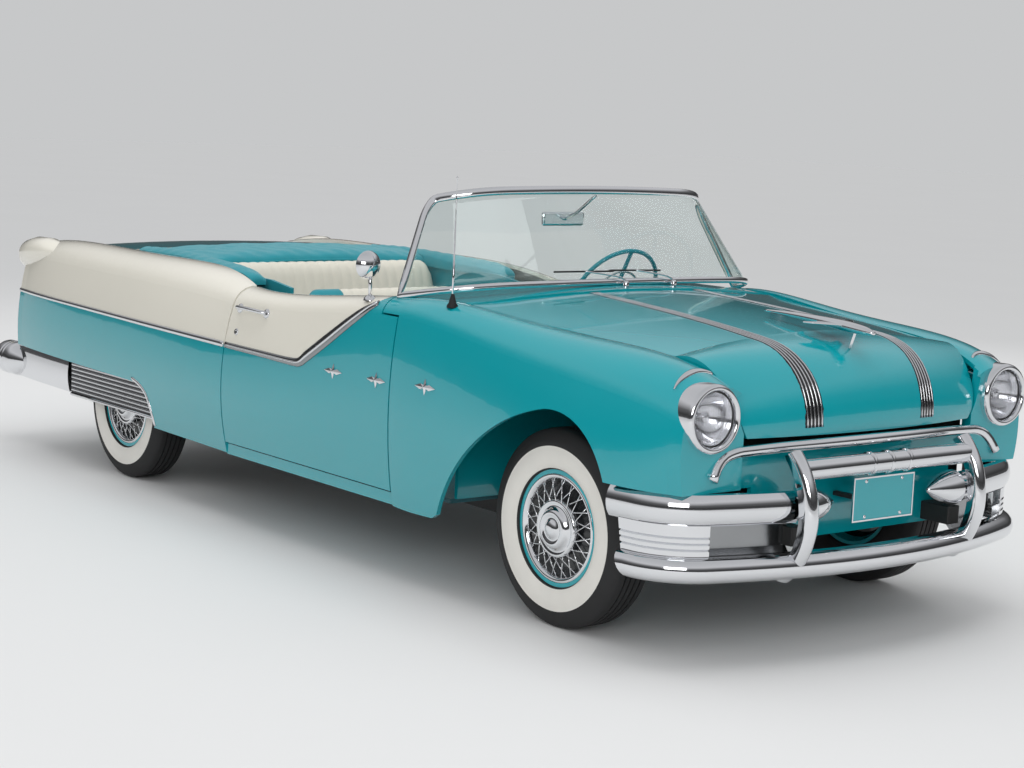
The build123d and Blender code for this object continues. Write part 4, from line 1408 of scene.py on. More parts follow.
@dataclass
class RearEnd:
    """The rear bumper with its bullet-ended pods, the hooded tail lamps, the tank and the exhaust."""

    shop: Shop
    reach: float = 2600.0
    sweep: float = 6000.0
    bar_angle: float = 8.2
    bar_steps: int = 32
    wrap: tuple[Pair, ...] = ((-1.790, 0.902), (-2.000, 0.895), (-2.200, 0.886), (-2.340, 0.877), (-2.470, 0.868))
    lamp: Pair = (0.796, 0.955)
    lamp_size: Pair = (0.060, 0.064)
    # x, y, z, half width and half height of each ring; x and scale for the rim and the lens
    hood_rows: tuple[tuple[float, ...], ...] = (
        (-2.060, 0.792, 0.985, 0.040, 0.020), (-2.130, 0.797, 0.986, 0.062, 0.048),
        (-2.200, 0.800, 0.985, 0.074, 0.066), (-2.330, 0.800, 0.972, 0.077, 0.077),
        (-2.420, 0.797, 0.957, 0.070, 0.074), (-2.440, 0.796, 0.955, 0.066, 0.070),
        (-2.440, 0.796, 0.955, 0.058, 0.062), (-2.425, 0.796, 0.955, 0.057, 0.061),
    )
    rim_rows: tuple[Pair, ...] = ((-2.432, 1.0), (-2.444, 1.02), (-2.450, 0.98), (-2.446, 0.92), (-2.432, 0.90))
    lens_rows: tuple[Pair, ...] = ((-2.430, 0.90), (-2.447, 0.90), (-2.457, 0.72), (-2.463, 0.45), (-2.465, 0.02))
    pipe: tuple[Point, ...] = (
        (1.290, -0.300, 0.232), (-0.600, -0.300, 0.232), (-0.840, -0.300, 0.232), (-1.120, -0.300, 0.445),
        (-1.360, -0.300, 0.480), (-1.600, -0.300, 0.445), (-1.800, -0.300, 0.330), (-2.480, -0.300, 0.318),
    )

    def bumper(self) -> None:
        """The bar across, the pods and the flush runs forward to the wheels."""
        section = outline([(60.0, 380.0), (60.0, 495.0), (20.0, 495.0), ((0.0, 438.0), (20.0, 380.0))])
        angles = [math.radians(-self.bar_angle + 2 * self.bar_angle * i / self.bar_steps)
                  for i in range(self.bar_steps + 1)]
        rings = [[((self.sweep - self.reach - (self.sweep - o) * math.cos(a)) / 1000,
                   (self.sweep - o) * math.sin(a) / 1000, z / 1000) for o, z in section] for a in angles]
        pieces = [self.shop.skinned("rear_bar", rings)]
        pod = [(-0.130, 0.0), (-0.130, 0.030), (-0.040, 0.080), (0.0, 0.084), (0.030, 0.084), (0.034, 0.080),
               (0.040, 0.080), (0.044, 0.084), (0.060, 0.084), (0.064, 0.080), (0.070, 0.080), (0.074, 0.084),
               (0.112, 0.084)]
        pod += [(a / 1000, s / 1000) for s, a in arc((84.0, 112.0), (58.0, 167.0), (10.0, 189.0), 10)] + [(0.190, 0.0)]
        for side in Side:
            pieces.append(self.shop.turned(f"rear_pod_{side.word}", pod, (-2.450, 0.845 * side.value, 0.422), -AHEAD,
                                           steps=64))
            rings = []
            for x, y in self.wrap:
                ring = outline([(y - 0.026, 0.352), (y - 0.008, 0.345), ((y + 0.004, 0.420), (y - 0.004, 0.497)),
                                (y - 0.026, 0.497)])
                rings.append([(x, v * side.value, z) for v, z in ring])
            pieces.append(self.shop.skinned(f"rear_run_{side.word}", rings))
        self.shop.stand_in(pieces, "rear_bumper", 35.0)

    def lamps(self) -> None:
        """The painted hood over each tail lamp, the lens in it and its bright rim."""
        (y, z), (wide, high) = self.lamp, self.lamp_size
        for side in Side:
            rings = [ellipse(*row, sign=side.value) for row in self.hood_rows]
            self.shop.sharpen(self.shop.skinned(f"tail_hood_{side.word}", rings, finish="ivory_paint"), 40.0)
            rim, lens = [[ellipse(x, y, z, wide * s, high * s, sign=side.value) for x, s in rows]
                         for rows in (self.rim_rows, self.lens_rows)]
            for thing in (self.shop.skinned(f"tail_rim_{side.word}", rim, closed=True),
                          self.shop.skinned(f"tail_lens_{side.word}", lens, finish="red_lens")):
                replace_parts(thing, "tail_lamps")

    def build(self) -> None:
        """Makes the rear end's pieces, with the fuel tank and the exhaust with its silencer."""
        self.bumper()
        self.lamps()
        self.shop.block("fuel_tank", (-2.190, -0.220, 0.400), (-1.770, 0.340, 0.556), soft=0.03)
        self.shop.block("exhaust_silencer", (-0.840, -0.350, 0.177), (-0.400, -0.230, 0.287), "cast_iron", 0.03)
        self.shop.tube("exhaust_pipe", resample(self.pipe, 0.05), 0.024, finish="cast_iron", steps=14)


@dataclass
class Windscreen:
    """The wrapped windscreen's bright frame with rounded upper corners, its glass and its wipers.

    The foot and the head are crescents in slanted planes, in millimetres: x and y and z of the corners, the
    plane's run and rise, its full depth, and the depth and y at which the flat middle ends.
    """

    shop: Shop
    foot: tuple = (868.0, 895.0, 1053.0, 352.0, 74.0, 360.0, 318.0, 560.0)
    head: tuple = (784.0, 705.0, 1433.0, 204.0, 61.0, 213.0, 185.0, 440.0)
    low: float = 0.035
    high: float = 0.965
    edge: float = 0.985
    corner: float = 0.20
    corner_reach: float = 0.045
    flat_share: float = 0.62
    across: int = 96
    rows: int = 10
    glass_insets: Pair = (10.0, 15.0)

    def crescent(self, row: tuple, share: float, inset: float) -> Vector:
        """A point of a crescent: share runs from -1 at the right corner over 0 in the middle to 1 at the left.

        Args:
            row: the crescent's sizes.
            share: the share across.
            inset: how far the point lies inside the outer line.

        Returns:
            The point, in metres.
        """
        x, corner_y, z, run, rise, depth, flat_depth, flat_y = row
        flat = [(flat_depth - inset, -flat_y)]
        flat += arc(flat[0], (depth - inset, 0.0), (flat_depth - inset, flat_y), 40)
        tangent = Vector((flat[-1][0] - flat[-2][0], flat[-1][1] - flat[-2][1])).normalized()
        start, end = Vector(flat[-1]), Vector((0.0, corner_y - inset))
        chord = end - start
        across = Vector((-tangent.y, tangent.x))
        centre = start + across * (chord.length_squared / (2 * chord.dot(across)))
        first = start - centre
        size, part = abs(share), self.flat_share
        if size <= part:
            spot = flat[20:]
            where = size / part * (len(spot) - 1)
            i = min(int(where), len(spot) - 2)
            d, y = [a + (b - a) * (where - i) for a, b in zip(spot[i], spot[i + 1])]
        else:
            turn = -first.angle_signed(end - centre) * (size - part) / (1 - part)
            c, s = math.cos(turn), math.sin(turn)
            d, y = centre.x + first.x * c - first.y * s, centre.y + first.x * s + first.y * c
        length = math.hypot(run, rise)
        sign = 1 if share >= 0 else -1
        return Vector((x + d * run / length, sign * y, z + d * rise / length)) / 1000

    def at(self, share: float, height: float, inset: float) -> Vector:
        """A point of the windscreen's surface, by its share across and its height from foot to head."""
        return self.crescent(self.foot, share, inset).lerp(self.crescent(self.head, share, inset), height)

    def frame(self) -> None:
        """The bright frame all round."""
        low, high, edge, n = self.low, self.high, self.edge, self.across
        shoulder = high - self.corner
        bend = [(edge - self.corner_reach * (1 - math.cos(a)), high - self.corner * (1 - math.sin(a)))
                for a in [math.pi / 2 * k / 8 for k in range(1, 9)]]
        top = edge - self.corner_reach
        loop = [(-edge + 2 * edge * i / n, low) for i in range(n + 1)]
        loop += [(edge, low + (shoulder - low) * i / 10) for i in range(1, 11)] + bend
        loop += [(top - 2 * top * i / n, high) for i in range(1, n + 1)]
        loop += [(-s, h) for s, h in reversed(bend[:-1])]
        loop += [(-edge, shoulder - (shoulder - low) * i / 10) for i in range(10)]
        points = [self.at(s, h, 12.0) for s, h in loop]
        rings = []
        for i, (point, (s, h)) in enumerate(zip(points, loop)):
            normal = (self.at(s, h, 2.0) - self.at(s, h, 22.0)).normalized()
            across = (points[(i + 1) % len(loop)] - points[i - 1]).normalized().cross(normal).normalized()
            wide = 0.017 if n < i < len(loop) - 1 else 0.013
            rings.append([point + across * (wide * math.copysign(abs(u) ** 0.7, u))
                          + normal * (0.011 * math.copysign(abs(v) ** 0.7, v)) for u, v in circle(12)])
        self.shop.stand_in([self.shop.skinned("screen_frame", rings, closed=True)], "windscreen_frame", 55.0)

    def glass(self) -> None:
        """The pane, as two skins joined round their rim."""
        low, high, rows, n = self.low, self.high, self.rows, self.across
        vertices = []
        for inset in self.glass_insets:
            for h in [low + (high - low) * j / rows for j in range(rows + 1)]:
                drop = max(0.0, (h - (high - self.corner)) / self.corner)
                reach = self.edge - self.corner_reach * (1 - math.sqrt(max(0.0, 1 - drop * drop)))
                vertices += [self.at(-reach + 2 * reach * i / n, h, inset) for i in range(n + 1)]
        row = n + 1
        skin = (rows + 1) * row
        grid = [[j * row + i, j * row + i + 1, (j + 1) * row + i + 1, (j + 1) * row + i]
                for j in range(rows) for i in range(n)]
        rim = (list(range(row)) + [j * row + n for j in range(1, rows + 1)]
               + [rows * row + i for i in range(n - 1, -1, -1)] + [j * row for j in range(rows - 1, 0, -1)])
        faces = grid + [[skin + a for a in face] for face in grid]
        faces += [[a, b, skin + b, skin + a] for a, b in zip(rim, rim[1:] + rim[:1])]
        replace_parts(self.shop.piece("screen_glass", vertices, faces, finish="window_glass"), "windscreen_glass")

    def wipers(self) -> None:
        """Two wipers that lie along the foot, each with its arm and pivot."""
        for index, (pivot, tip, end) in enumerate(((-0.06, -0.10, -0.42), (0.22, 0.18, -0.12))):
            blade = [self.at(tip + (end - tip) * k / 8, 0.135 + 0.01 * k / 8, -4.0) for k in range(9)]
            arm = [self.at(pivot, 0.02, -10.0), self.at((pivot + tip) / 2, 0.07, -16.0),
                   self.at(tip + (end - tip) * 0.5, 0.14, -9.0)]
            self.shop.tube(f"wiper_blade_{index}", blade, 0.0035, finish="black_rubber", steps=8)
            self.shop.tube(f"wiper_arm_{index}", resample(arm, 0.02), 0.0035, steps=8)
            self.shop.turned(f"wiper_pivot_{index}", [(-0.014, 0.012), (0.008, 0.012), (0.014, 0.007), (0.014, 0.0)],
                             self.at(pivot, 0.0, -12.0), Vector((0.2, 0, 1)), steps=20)

    def build(self) -> None:
        """Makes the windscreen's pieces."""
        self.frame()
        self.glass()
        self.wipers()


@dataclass
class Fittings:
    """The mirrors, the aerial, the chrome down the rear wheel opening and along the skirt."""

    shop: Shop
    probes: dict[Side, Probe]

    def mirrors(self) -> None:
        """The round mirror on the right door, and the block over the dash on its arm."""
        head = [(-0.034, 0.0), (-0.030, 0.020), (-0.016, 0.044), (-0.004, 0.053), (0.004, 0.055), (0.009, 0.052),
                (0.009, 0.049), (0.006, 0.047), (0.006, 0.0)]
        mirror = self.shop.turned("door_mirror", head, (0.712, -0.900, 1.171), -AHEAD, "door_right", steps=48)
        self.shop.sharpen(mirror, 35.0)
        foot = self.probes[Side.RIGHT].drop(0.720, -0.893, 1.3, 1.04)
        stem = [foot - Vector((0, 0, 0.004)), foot + Vector((0.004, -0.004, 0.05)), (0.722, -0.900, 1.160)]
        self.shop.tube("door_mirror_stem", stem, 0.007, "door_right", steps=14)
        self.shop.turned("door_mirror_foot", [(-0.004, 0.026), (0.006, 0.024), (0.016, 0.012), (0.018, 0.0)], foot, UP,
                         "door_right", steps=32)
        self.shop.block("cabin_mirror", (0.760, -0.108, 1.322), (0.778, 0.108, 1.378), "chrome", 0.012)
        path = [(0.782, 0.0, 1.350), (0.86, 0.0, 1.385), (0.965, 0.0, 1.455)]
        self.shop.tube("cabin_mirror_arm", resample(path, 0.02), 0.006)

    def aerial(self) -> None:
        """The stepped mast on its cone."""
        low = self.probes[Side.RIGHT].drop(1.209, -0.868, 1.4, 1.03)
        mast = [(-0.01, 0.0), (-0.01, 0.0045), (0.16, 0.004), (0.161, 0.003), (0.31, 0.0026), (0.311, 0.0018),
                (0.462, 0.0018), (0.466, 0.0035), (0.472, 0.0)]
        cone = [(-0.004, 0.021), (0.004, 0.021), (0.012, 0.015), (0.045, 0.006), (0.050, 0.0)]
        self.shop.turned("aerial_mast", mast, low, UP, steps=12)
        self.shop.turned("aerial_foot", cone, low, UP, finish="matte_black", steps=24)

    def opening(self, side: Side) -> None:
        """The bright strip down the front of the rear wheel opening, and the one under the skirt.

        Args:
            side: the side of the car.
        """
        rows = resample([(-1.075, 0.500), (-1.000, 0.478), (-0.945, 0.440), (-0.915, 0.370), (-0.903, 0.308)], 0.01)
        trace = self.probes[side].trace([(x + 0.010, z + 0.008, 0.009) for x, z in rows], side)
        self.shop.ribbon(f"opening_strip_{side.word}", trace, 0.006)
        edge = [(x, 0.9055 * side.value, 0.343) for x in (-1.745, -1.5, -1.2, -0.915)]
        self.shop.tube(f"skirt_edge_{side.word}", edge, 0.008)

    def build(self) -> None:
        """Makes the small fittings."""
        self.mirrors()
        self.aerial()
        for side in Side:
            self.opening(side)


@dataclass
class BenchSeat:
    """A pleated bench: closed crowned pads swept across the car, with sewn channels and bolsters at the ends.

    Each pad is given by its side view, as x and z points.
    """

    shop: Shop
    name: str
    node: str
    half: float
    bolster: float
    pads: tuple[tuple[Pair, ...], ...]
    pitch: float = 0.052
    depth: float = 0.007
    fill: float = 0.8

    def sink(self, y: float) -> float:
        """How far a channel or a seam lies under the crown at y.

        Args:
            y: the place across the car.

        Returns:
            The depth.
        """
        groove = abs(math.sin(math.pi * y / self.pitch)) ** 0.45 if abs(y) < self.bolster else 1.0
        seam = max(0.0, 1.0 - abs(abs(y) - self.bolster) / 0.010)
        return self.depth * (1.0 - groove) + 0.009 * seam

    def pad(self, index: int, view: Sequence[Pair]) -> Thing:
        """One pad from its side view.

        Args:
            index: the pad's number.
            view: its side view.

        Returns:
            The object.
        """
        loop = resample([*view, view[0]], 0.028)[:-1]
        count = len(loop)
        mid_x = sum(p[0] for p in loop) / count
        mid_z = sum(p[1] for p in loop) / count
        turn = 1 if sum(a[0] * b[1] - b[0] * a[1] for a, b in zip(loop, loop[1:] + loop[:1])) < 0 else -1
        normals = []
        for i in range(count):
            a, b = loop[i - 1], loop[(i + 1) % count]
            length = math.hypot(b[0] - a[0], b[1] - a[1]) or 1.0
            normals.append((turn * -(b[1] - a[1]) / length, turn * (b[0] - a[0]) / length))
        rings, y = [], -self.half
        while y < self.half + 1e-6:
            shrink = 1.0 - 0.30 * max(0.0, 1.0 - (self.half - abs(y)) / 0.07) ** 2.4
            sink, ring = self.sink(y), []
            for (x, z), (nx, nz) in zip(loop, normals):
                inward = sink * min(1.0, max(0.0, nz) + max(0.0, nx)) + 0.004
                ring.append((mid_x + (x - mid_x) * shrink - nx * inward, y,
                             mid_z + (z - mid_z) * shrink - nz * inward))
            rings.append(ring)
            y += self.pitch / 6
        thing = self.shop.skinned(f"{self.name}_{index}", rings, finish="ivory_leather")
        self.shop.second_finish(thing, "turquoise_leather", lambda place: abs(place.y) > self.bolster)
        return thing

    def build(self) -> None:
        """Makes the pads over the CAD seat."""
        for index, view in enumerate(self.pads):
            thing = self.pad(index, view)
            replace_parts(thing, self.node)


@dataclass
class FoldedTopBoot:
    """The snapped-down cover over the folded top: a crowned pad behind the seat, and an arm along each side."""

    shop: Shop
    # x, half width, and the heights of the foot, the edge and the crown
    pad_rows: tuple[tuple[float, ...], ...] = (
        (-1.003, 0.604, 0.985, 1.004, 1.022), (-1.012, 0.612, 0.985, 1.034, 1.052),
        (-1.040, 0.620, 0.985, 1.046, 1.068), (-1.090, 0.630, 0.985, 1.054, 1.080),
        (-1.240, 0.636, 0.985, 1.061, 1.089), (-1.400, 0.630, 0.985, 1.058, 1.083),
        (-1.490, 0.620, 0.985, 1.053, 1.073), (-1.520, 0.612, 0.985, 1.046, 1.064),
    )
    # x, then y and z of the inner edge, the crown and the outer edge, and the foot's height
    arm_rows: tuple[tuple[float, ...], ...] = (
        (-0.430, 0.652, 0.990, 0.686, 1.002, 0.718, 0.996, 0.984),
        (-0.445, 0.640, 1.004, 0.686, 1.024, 0.726, 1.016, 0.984),
        (-0.560, 0.618, 1.022, 0.676, 1.050, 0.738, 1.040, 0.990),
        (-0.800, 0.604, 1.032, 0.668, 1.062, 0.718, 1.050, 0.995),
        (-1.090, 0.604, 1.054, 0.656, 1.072, 0.704, 1.054, 1.000),
        (-1.300, 0.604, 1.056, 0.652, 1.072, 0.698, 1.052, 1.010),
        (-1.500, 0.604, 1.050, 0.650, 1.064, 0.690, 1.050, 1.020),
    )
    across: int = 96
    seam_x: float = -1.24
    fill: float = 0.5

    def pad(self) -> Thing:
        """The pad across the car, with soft folds that run along it and one seam across.

        Returns:
            The object.
        """
        rings = []
        for x, half, low, edge, crown in resample(self.pad_rows, 0.012):
            tuck = 0.004 * math.exp(-((x - self.seam_x) / 0.010) ** 2)
            top = []
            for y in [-half + 2 * half * k / self.across for k in range(self.across + 1)]:
                fold = 0.0022 * math.sin(23 * y + 31 * x) + 0.0016 * math.sin(61 * y - 47 * x)
                top.append((x, y, edge + (crown - edge) * (1 - (y / half) ** 2) ** 0.8 + fold - tuck))
            rings.append([(x, -half, low), *top, (x, half, low)])
        return self.shop.skinned("boot_cover", rings, finish="boot_cloth")

    def arm(self, side: Side) -> Thing:
        """An arm along the side, crowned across.

        Args:
            side: the side of the car.

        Returns:
            The object.
        """
        rings = []
        for x, y0, z0, y1, z1, y2, z2, low in resample(self.arm_rows, 0.015):
            top = [(y0, z0), *arc((y0, z0), (y1, z1), (y2, z2), 14)]
            top = [(x, y * side.value, z + 0.0014 * math.sin(70 * x + 40 * y)) for y, z in top]
            rings.append([(x, y0 * side.value, low), *top, (x, y2 * side.value, low)])
        return self.shop.skinned(f"boot_arm_{side.word}", rings, finish="boot_cloth")

    def build(self) -> None:
        """Makes the cover's pieces with the piping along their front hems."""
        pieces = [self.pad(), self.arm(Side.LEFT), self.arm(Side.RIGHT)]
        self.shop.stand_in(pieces, "top_boot", 50.0)
        hem = [(-1.006, -0.600 + 1.2 * k / 60, 1.012 + 0.022 * (1 - ((k - 30) / 30) ** 2)) for k in range(61)]
        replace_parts(self.shop.tube("boot_piping", hem, 0.0045, finish="turquoise_leather", steps=8), "top_boot")


@dataclass
class Cabin:
    """The horn ring, the instruments and knobs, the door cards with their handles, and the pedals."""

    shop: Shop
    wheel_centre: Point = (0.640, 0.400, 1.020)
    wheel_lean: float = 28.0
    dash_face: Point = (-1.0, 0.0, 0.25)
    # y, z and radius of each dial
    dials: tuple[Point, ...] = ((0.400, 0.930, 0.062), (0.270, 0.925, 0.036), (0.530, 0.925, 0.036))
    knobs: tuple[float, ...] = (0.10, 0.02, -0.06, -0.14)
    slats: int = 9
    door_y: float = 0.814
    card_x: Pair = (-0.205, 0.835)
    beads: Point = (0.636, 0.700, 0.712)
    # y and half width of each pedal
    pedals: tuple[Pair, ...] = ((0.520, 0.030), (0.420, 0.030), (0.300, 0.022))

    def wheel(self) -> None:
        """The horn ring and the hub button."""
        lean = math.radians(self.wheel_lean)
        axis = Vector((-math.cos(lean), 0, math.sin(lean)))
        ring = [(-0.006 + 0.0045 * s, 0.120 + 0.0045 * c) for c, s in circle(10)]
        self.shop.turned("horn_ring", ring, self.wheel_centre, axis, "steering_wheel", closed=True)
        button = [(-0.004, 0.040), (0.006, 0.040), (0.012, 0.034), (0.014, 0.020), (0.015, 0.0)]
        self.shop.turned("horn_button", button, self.wheel_centre, axis, "steering_wheel", steps=48)

    def dash(self) -> None:
        """The round instruments in bright rims before the driver, the row of knobs, and the speaker's grille."""
        face = Vector(self.dash_face).normalized()
        for index, (y, z, radius) in enumerate(self.dials):
            rim = [(-0.004, radius), (0.008, radius), (0.011, radius - 0.004), (0.008, radius - 0.007),
                   (0.002, radius - 0.008), (0.002, 0.0)]
            place = Vector((0.884, y, z))
            dial = self.shop.turned(f"dash_dial_{index}", rim, place, face, steps=48)
            self.shop.second_finish(dial, "ivory_plastic", lambda spot, p=place, r=radius: (
                (spot - p - face * (spot - p).dot(face)).length < r - 0.0085))
            self.shop.sharpen(dial, 40.0)
            start = place + face * 0.005
            self.shop.tube(f"dash_needle_{index}", [start, start + Vector((0.0, -radius * 0.45, radius * 0.5))],
                           0.0012, finish="matte_black", steps=6)
        for index, y in enumerate(self.knobs):
            self.shop.turned(f"dash_knob_{index}", [(-0.004, 0.005), (0.012, 0.005), (0.013, 0.012), (0.021, 0.011),
                             (0.023, 0.0)], (0.882, y, 0.905), face, steps=20)
        for index in range(self.slats):
            z = 0.880 + index * 0.010
            x = 0.873 + 0.0105 * abs(z - 0.950) / 0.05
            self.shop.tube(f"dash_slat_{index}", [(x - 0.004, -0.24, z), (x - 0.004, -0.56, z)], 0.0026, steps=8)

    def door_card(self, side: Side) -> None:
        """The trimmed inner face of a door: two colours, bright beads, an arm rest, a crank and a pull.

        Args:
            side: the side of the car.
        """
        word, body, inward = side.word, f"door_{side.word}", -side.value
        y, (x0, x1) = self.door_y * side.value, self.card_x
        for name, low, high, thick, finish, soft in (
            ("card", (x0, 0.640), (x1, 0.955), 0.006, "ivory_leather", 0.003),
            ("kick", (x0, 0.400), (x1, 0.632), 0.006, "turquoise_leather", 0.003),
            ("rest", (0.050, 0.735), (0.420, 0.780), 0.030, "turquoise_leather", 0.012),
        ):
            near, far = sorted((y + 0.0005 * inward, y + thick * inward))
            self.shop.block(f"door_{name}_{word}", (low[0], near, low[1]), (high[0], far, high[1]), finish, soft, body)
        for index, z in enumerate(self.beads):
            self.shop.tube(f"door_bead_{index}_{word}", [(x, y + 0.007 * inward, z) for x in (x0, x1)], 0.003, body,
                           steps=8)
        for name, x, z, end_x, end_z in (("crank", 0.560, 0.800, 0.640, 0.770), ("pull", 0.150, 0.850, 0.230, 0.850)):
            self.shop.turned(f"door_{name}_hub_{word}", [(0.0, 0.018), (0.010, 0.016), (0.018, 0.009), (0.018, 0.0)],
                             (x, y + 0.005 * inward, z), ACROSS * inward, body, steps=24)
            self.shop.tube(f"door_{name}_{word}", [(x, y + 0.016 * inward, z), (end_x, y + 0.020 * inward, end_z)],
                           0.005, body, steps=10)
        self.shop.turned(f"door_crank_knob_{word}", [(0.0, 0.006), (0.010, 0.009), (0.018, 0.010), (0.022, 0.0)],
                         (0.640, y + 0.016 * inward, 0.770), ACROSS * inward, body, "ivory_plastic", 20)

    def build(self) -> None:
        """Makes the cabin's small pieces, with the pedals on arms that hang under the dash."""
        self.wheel()
        self.dash()
        for side in Side:
            self.door_card(side)
        for index, (y, wide) in enumerate(self.pedals):
            self.shop.block(f"pedal_pad_{index}", (1.035, y - wide, 0.450), (1.050, y + wide, 0.520), "black_rubber",
                            0.004)
            self.shop.tube(f"pedal_arm_{index}", [(1.050, y, 0.490), (1.085, y, 0.600), (1.120, y, 0.860)], 0.007,
                           finish="underbody_black", steps=8)


# Floor, light and camera


@dataclass
class Studio:
    """The pale floor, the soft lights and the camera of the photograph."""

    camera_place: Point = (7.082, -5.265, 1.784)
    yaw: float = 38.6
    pitch: float = 7.72
    roll: float = 2.46
    focal_pixels: float = 2035.0
    frame_width: float = 1024.0
    floor_half: float = 60.0
    # name, place, target, size and power of each lamp
    lamps: tuple[tuple, ...] = (
        ("overhead", (0.3, -0.6, 6.0), (0.2, 0.0, 0.5), (8.0, 4.0), 150.0),
        ("key", (7.5, -6.0, 3.4), (0.8, 0.0, 0.7), (4.0, 2.5), 130.0),
        ("rim", (-5.0, 5.5, 4.0), (-0.5, 0.0, 0.8), (5.0, 2.0), 100.0),
    )
    # What bright metal mirrors, from straight down to straight up: position and colour
    mirrored: tuple[tuple[float, Point], ...] = (
        (0.50, (0.10, 0.10, 0.103)), (0.56, (0.05, 0.05, 0.0515)), (0.66, (0.16, 0.16, 0.1648)),
        (0.78, (0.75, 0.75, 0.7725)),
    )
    nadir: Point = (0.60, 0.60, 0.60)
    zenith: Point = (0.62, 0.63, 0.65)
    light_tone: Point = (0.98, 0.99, 1.0)
    backdrop_tone: Point = (0.713, 0.722, 0.730)

    @staticmethod
    def link(name: str, data: bpy.types.ID) -> Thing:
        """Puts an object with that data in the scene.

        Args:
            name: the object's name.
            data: its data.

        Returns:
            The object.
        """
        thing = bpy.data.objects.new(name, data)
        bpy.context.scene.collection.objects.link(thing)
        return thing

    def camera(self) -> None:
        """Puts the camera where the photograph was taken from."""
        yaw, pitch, roll = (math.radians(a) for a in (self.yaw, self.pitch, self.roll))
        ahead = Vector((-math.cos(yaw) * math.cos(pitch), math.sin(yaw) * math.cos(pitch), -math.sin(pitch)))
        right = Vector((math.sin(yaw), math.cos(yaw), 0))
        up = right.cross(ahead)
        turned_right = math.cos(roll) * right + math.sin(roll) * up
        turned_up = -math.sin(roll) * right + math.cos(roll) * up
        data = bpy.data.cameras.new("camera")
        data.sensor_width = 36.0
        data.lens = self.focal_pixels / self.frame_width * data.sensor_width
        data.clip_end = 200.0
        thing = self.link("camera", data)
        rows = zip(turned_right, turned_up, -ahead, self.camera_place)
        thing.matrix_world = Matrix([*rows, (0, 0, 0, 1)])
        bpy.context.scene.camera = thing

    def floor(self) -> None:
        """The plain floor."""
        mesh = bpy.data.meshes.new("studio_floor")
        ring = [(x * self.floor_half, y * self.floor_half, 0) for x, y in ((-1, -1), (1, -1), (1, 1), (-1, 1))]
        mesh.from_pydata(ring, [], [(0, 1, 2, 3)])
        mesh.materials.append(Finish("studio_floor", (0.74, 0.74, 0.74), (0.35, 0.45), bump_scale=40.0,
                                     bump_strength=0.02, variation=0.03, variation_scale=0.6, specular=0.0).make())
        self.link("studio_floor", mesh)

    def lights(self) -> None:
        """Three soft panels: a long one overhead, one from the front right and one from the rear left."""
        for name, place, target, size, power in self.lamps:
            data = bpy.data.lights.new(name, "AREA")
            data.shape = "RECTANGLE"
            data.size, data.size_y = size
            data.energy = power
            thing = self.link(name, data)
            thing.location = place
            thing.rotation_euler = (Vector(target) - Vector(place)).to_track_quat("-Z", "Y").to_euler()
            thing.visible_glossy = name == "key"

    def world(self) -> None:
        """An even pale surrounding; bright metal mirrors one that darkens towards the horizon."""
        world = bpy.data.worlds.new("studio")
        bpy.context.scene.world = world
        world.use_nodes = True
        tree = world.node_tree
        tree.nodes.clear()
        place, split, half, ramp, path, pale, mix, light, output = [tree.nodes.new(f"ShaderNode{kind}") for kind in (
            "TexCoord", "SeparateXYZ", "Math", "ValToRGB", "LightPath", "Mix", "Mix", "Background", "OutputWorld")]
        stops = ramp.color_ramp.elements
        stops[0].position, stops[0].color = 0.0, (*self.nadir, 1)
        stops[1].position, stops[1].color = 1.0, (*self.zenith, 1)
        for position, colour in self.mirrored:
            stops.new(position).color = (*colour, 1)
        half.operation = "MULTIPLY_ADD"
        half.inputs[1].default_value = half.inputs[2].default_value = 0.5
        mix.data_type = pale.data_type = "RGBA"
        pale.inputs["A"].default_value = (*self.light_tone, 1)
        pale.inputs["B"].default_value = (*self.backdrop_tone, 1)
        light.inputs["Strength"].default_value = 0.8
        for start, out, end, into in (
            (place, "Generated", split, 0), (split, 2, half, 0), (half, 0, ramp, 0), (ramp, 0, mix, "B"),
            (path, "Is Glossy Ray", mix, "Factor"), (path, "Is Camera Ray", pale, "Factor"),
            (pale, "Result", mix, "A"), (mix, "Result", light, "Color"), (light, 0, output, 0),
        ):
            tree.links.new(start.outputs[out], end.inputs[into])

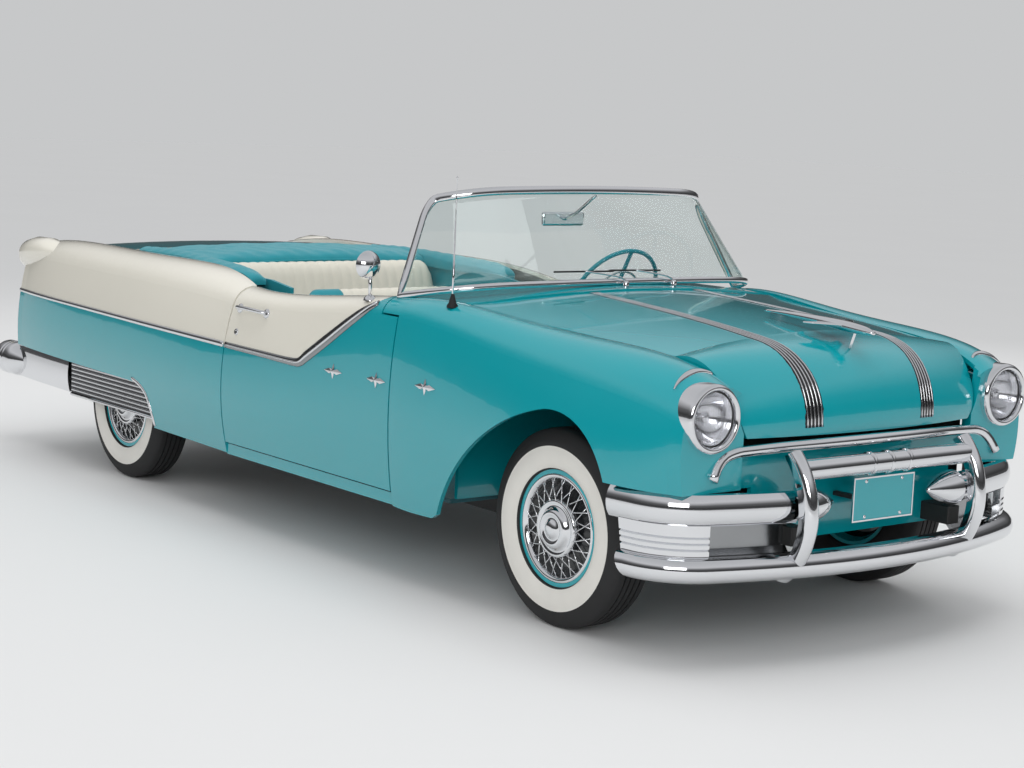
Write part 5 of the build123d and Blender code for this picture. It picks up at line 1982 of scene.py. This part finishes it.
    def build(self) -> None:
        """Sets the studio up."""
        bpy.context.scene.view_settings.view_transform = "Standard"
        self.camera()
        self.floor()
        self.lights()
        self.world()


FRONT_PADS = (
    ((0.572, 0.480), (0.582, 0.590), (0.550, 0.640), (0.440, 0.640), (0.250, 0.624), (0.100, 0.606), (0.010, 0.560),
     (0.020, 0.460), (0.300, 0.452), (0.545, 0.452)),
    ((0.118, 0.640), (0.090, 0.740), (0.040, 0.880), (0.002, 0.975), (-0.042, 1.004), (-0.080, 0.980),
     (-0.072, 0.860), (-0.050, 0.660), (-0.020, 0.560), (0.060, 0.560)),
)
REAR_PADS = (
    ((-0.490, 0.420), (-0.482, 0.590), (-0.512, 0.636), (-0.620, 0.634), (-0.800, 0.612), (-0.880, 0.560),
     (-0.860, 0.590), (-0.700, 0.440)),
    ((-0.802, 0.630), (-0.830, 0.740), (-0.870, 0.900), (-0.902, 1.005), (-0.950, 1.036), (-0.994, 1.005),
     (-0.994, 0.800), (-0.985, 0.600), (-0.900, 0.590)),
)


def main() -> None:
    """Builds the dressed car in order."""
    logging.basicConfig(level=logging.INFO, format="%(message)s")
    for thing in list(bpy.data.objects):
        bpy.data.objects.remove(thing)
    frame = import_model()
    nodes = frame["nodes"]
    shop = Shop(Palette())
    Studio().build()
    Bodywork(shop.palette).build(nodes)
    WheelSet(shop).build(nodes)
    fenders = {side: nodes[f"front_fender_{side.word}"] for side in Side}
    sides = {side: Probe([fenders[side], nodes[f"door_{side.word}"], nodes[f"rear_quarter_{side.word}"]])
             for side in Side}
    for assembly in (
        SideTrim(shop, sides), HoodTrim(shop, Probe([nodes["hood"]])), FrontEnd(shop), RearEnd(shop),
        Windscreen(shop), Fittings(shop, sides), FrontLamps(shop, {side: Probe([fenders[side]]) for side in Side}),
        BenchSeat(shop, "front_bench", "front_seat", 0.695, 0.520, FRONT_PADS),
        BenchSeat(shop, "rear_bench", "rear_seat", 0.596, 0.590, REAR_PADS), FoldedTopBoot(shop), Cabin(shop),
    ):
        assembly.build()
        LOG.info("%s: %d pieces so far", type(assembly).__name__, shop.count)


if __name__ == "__main__":
    main()
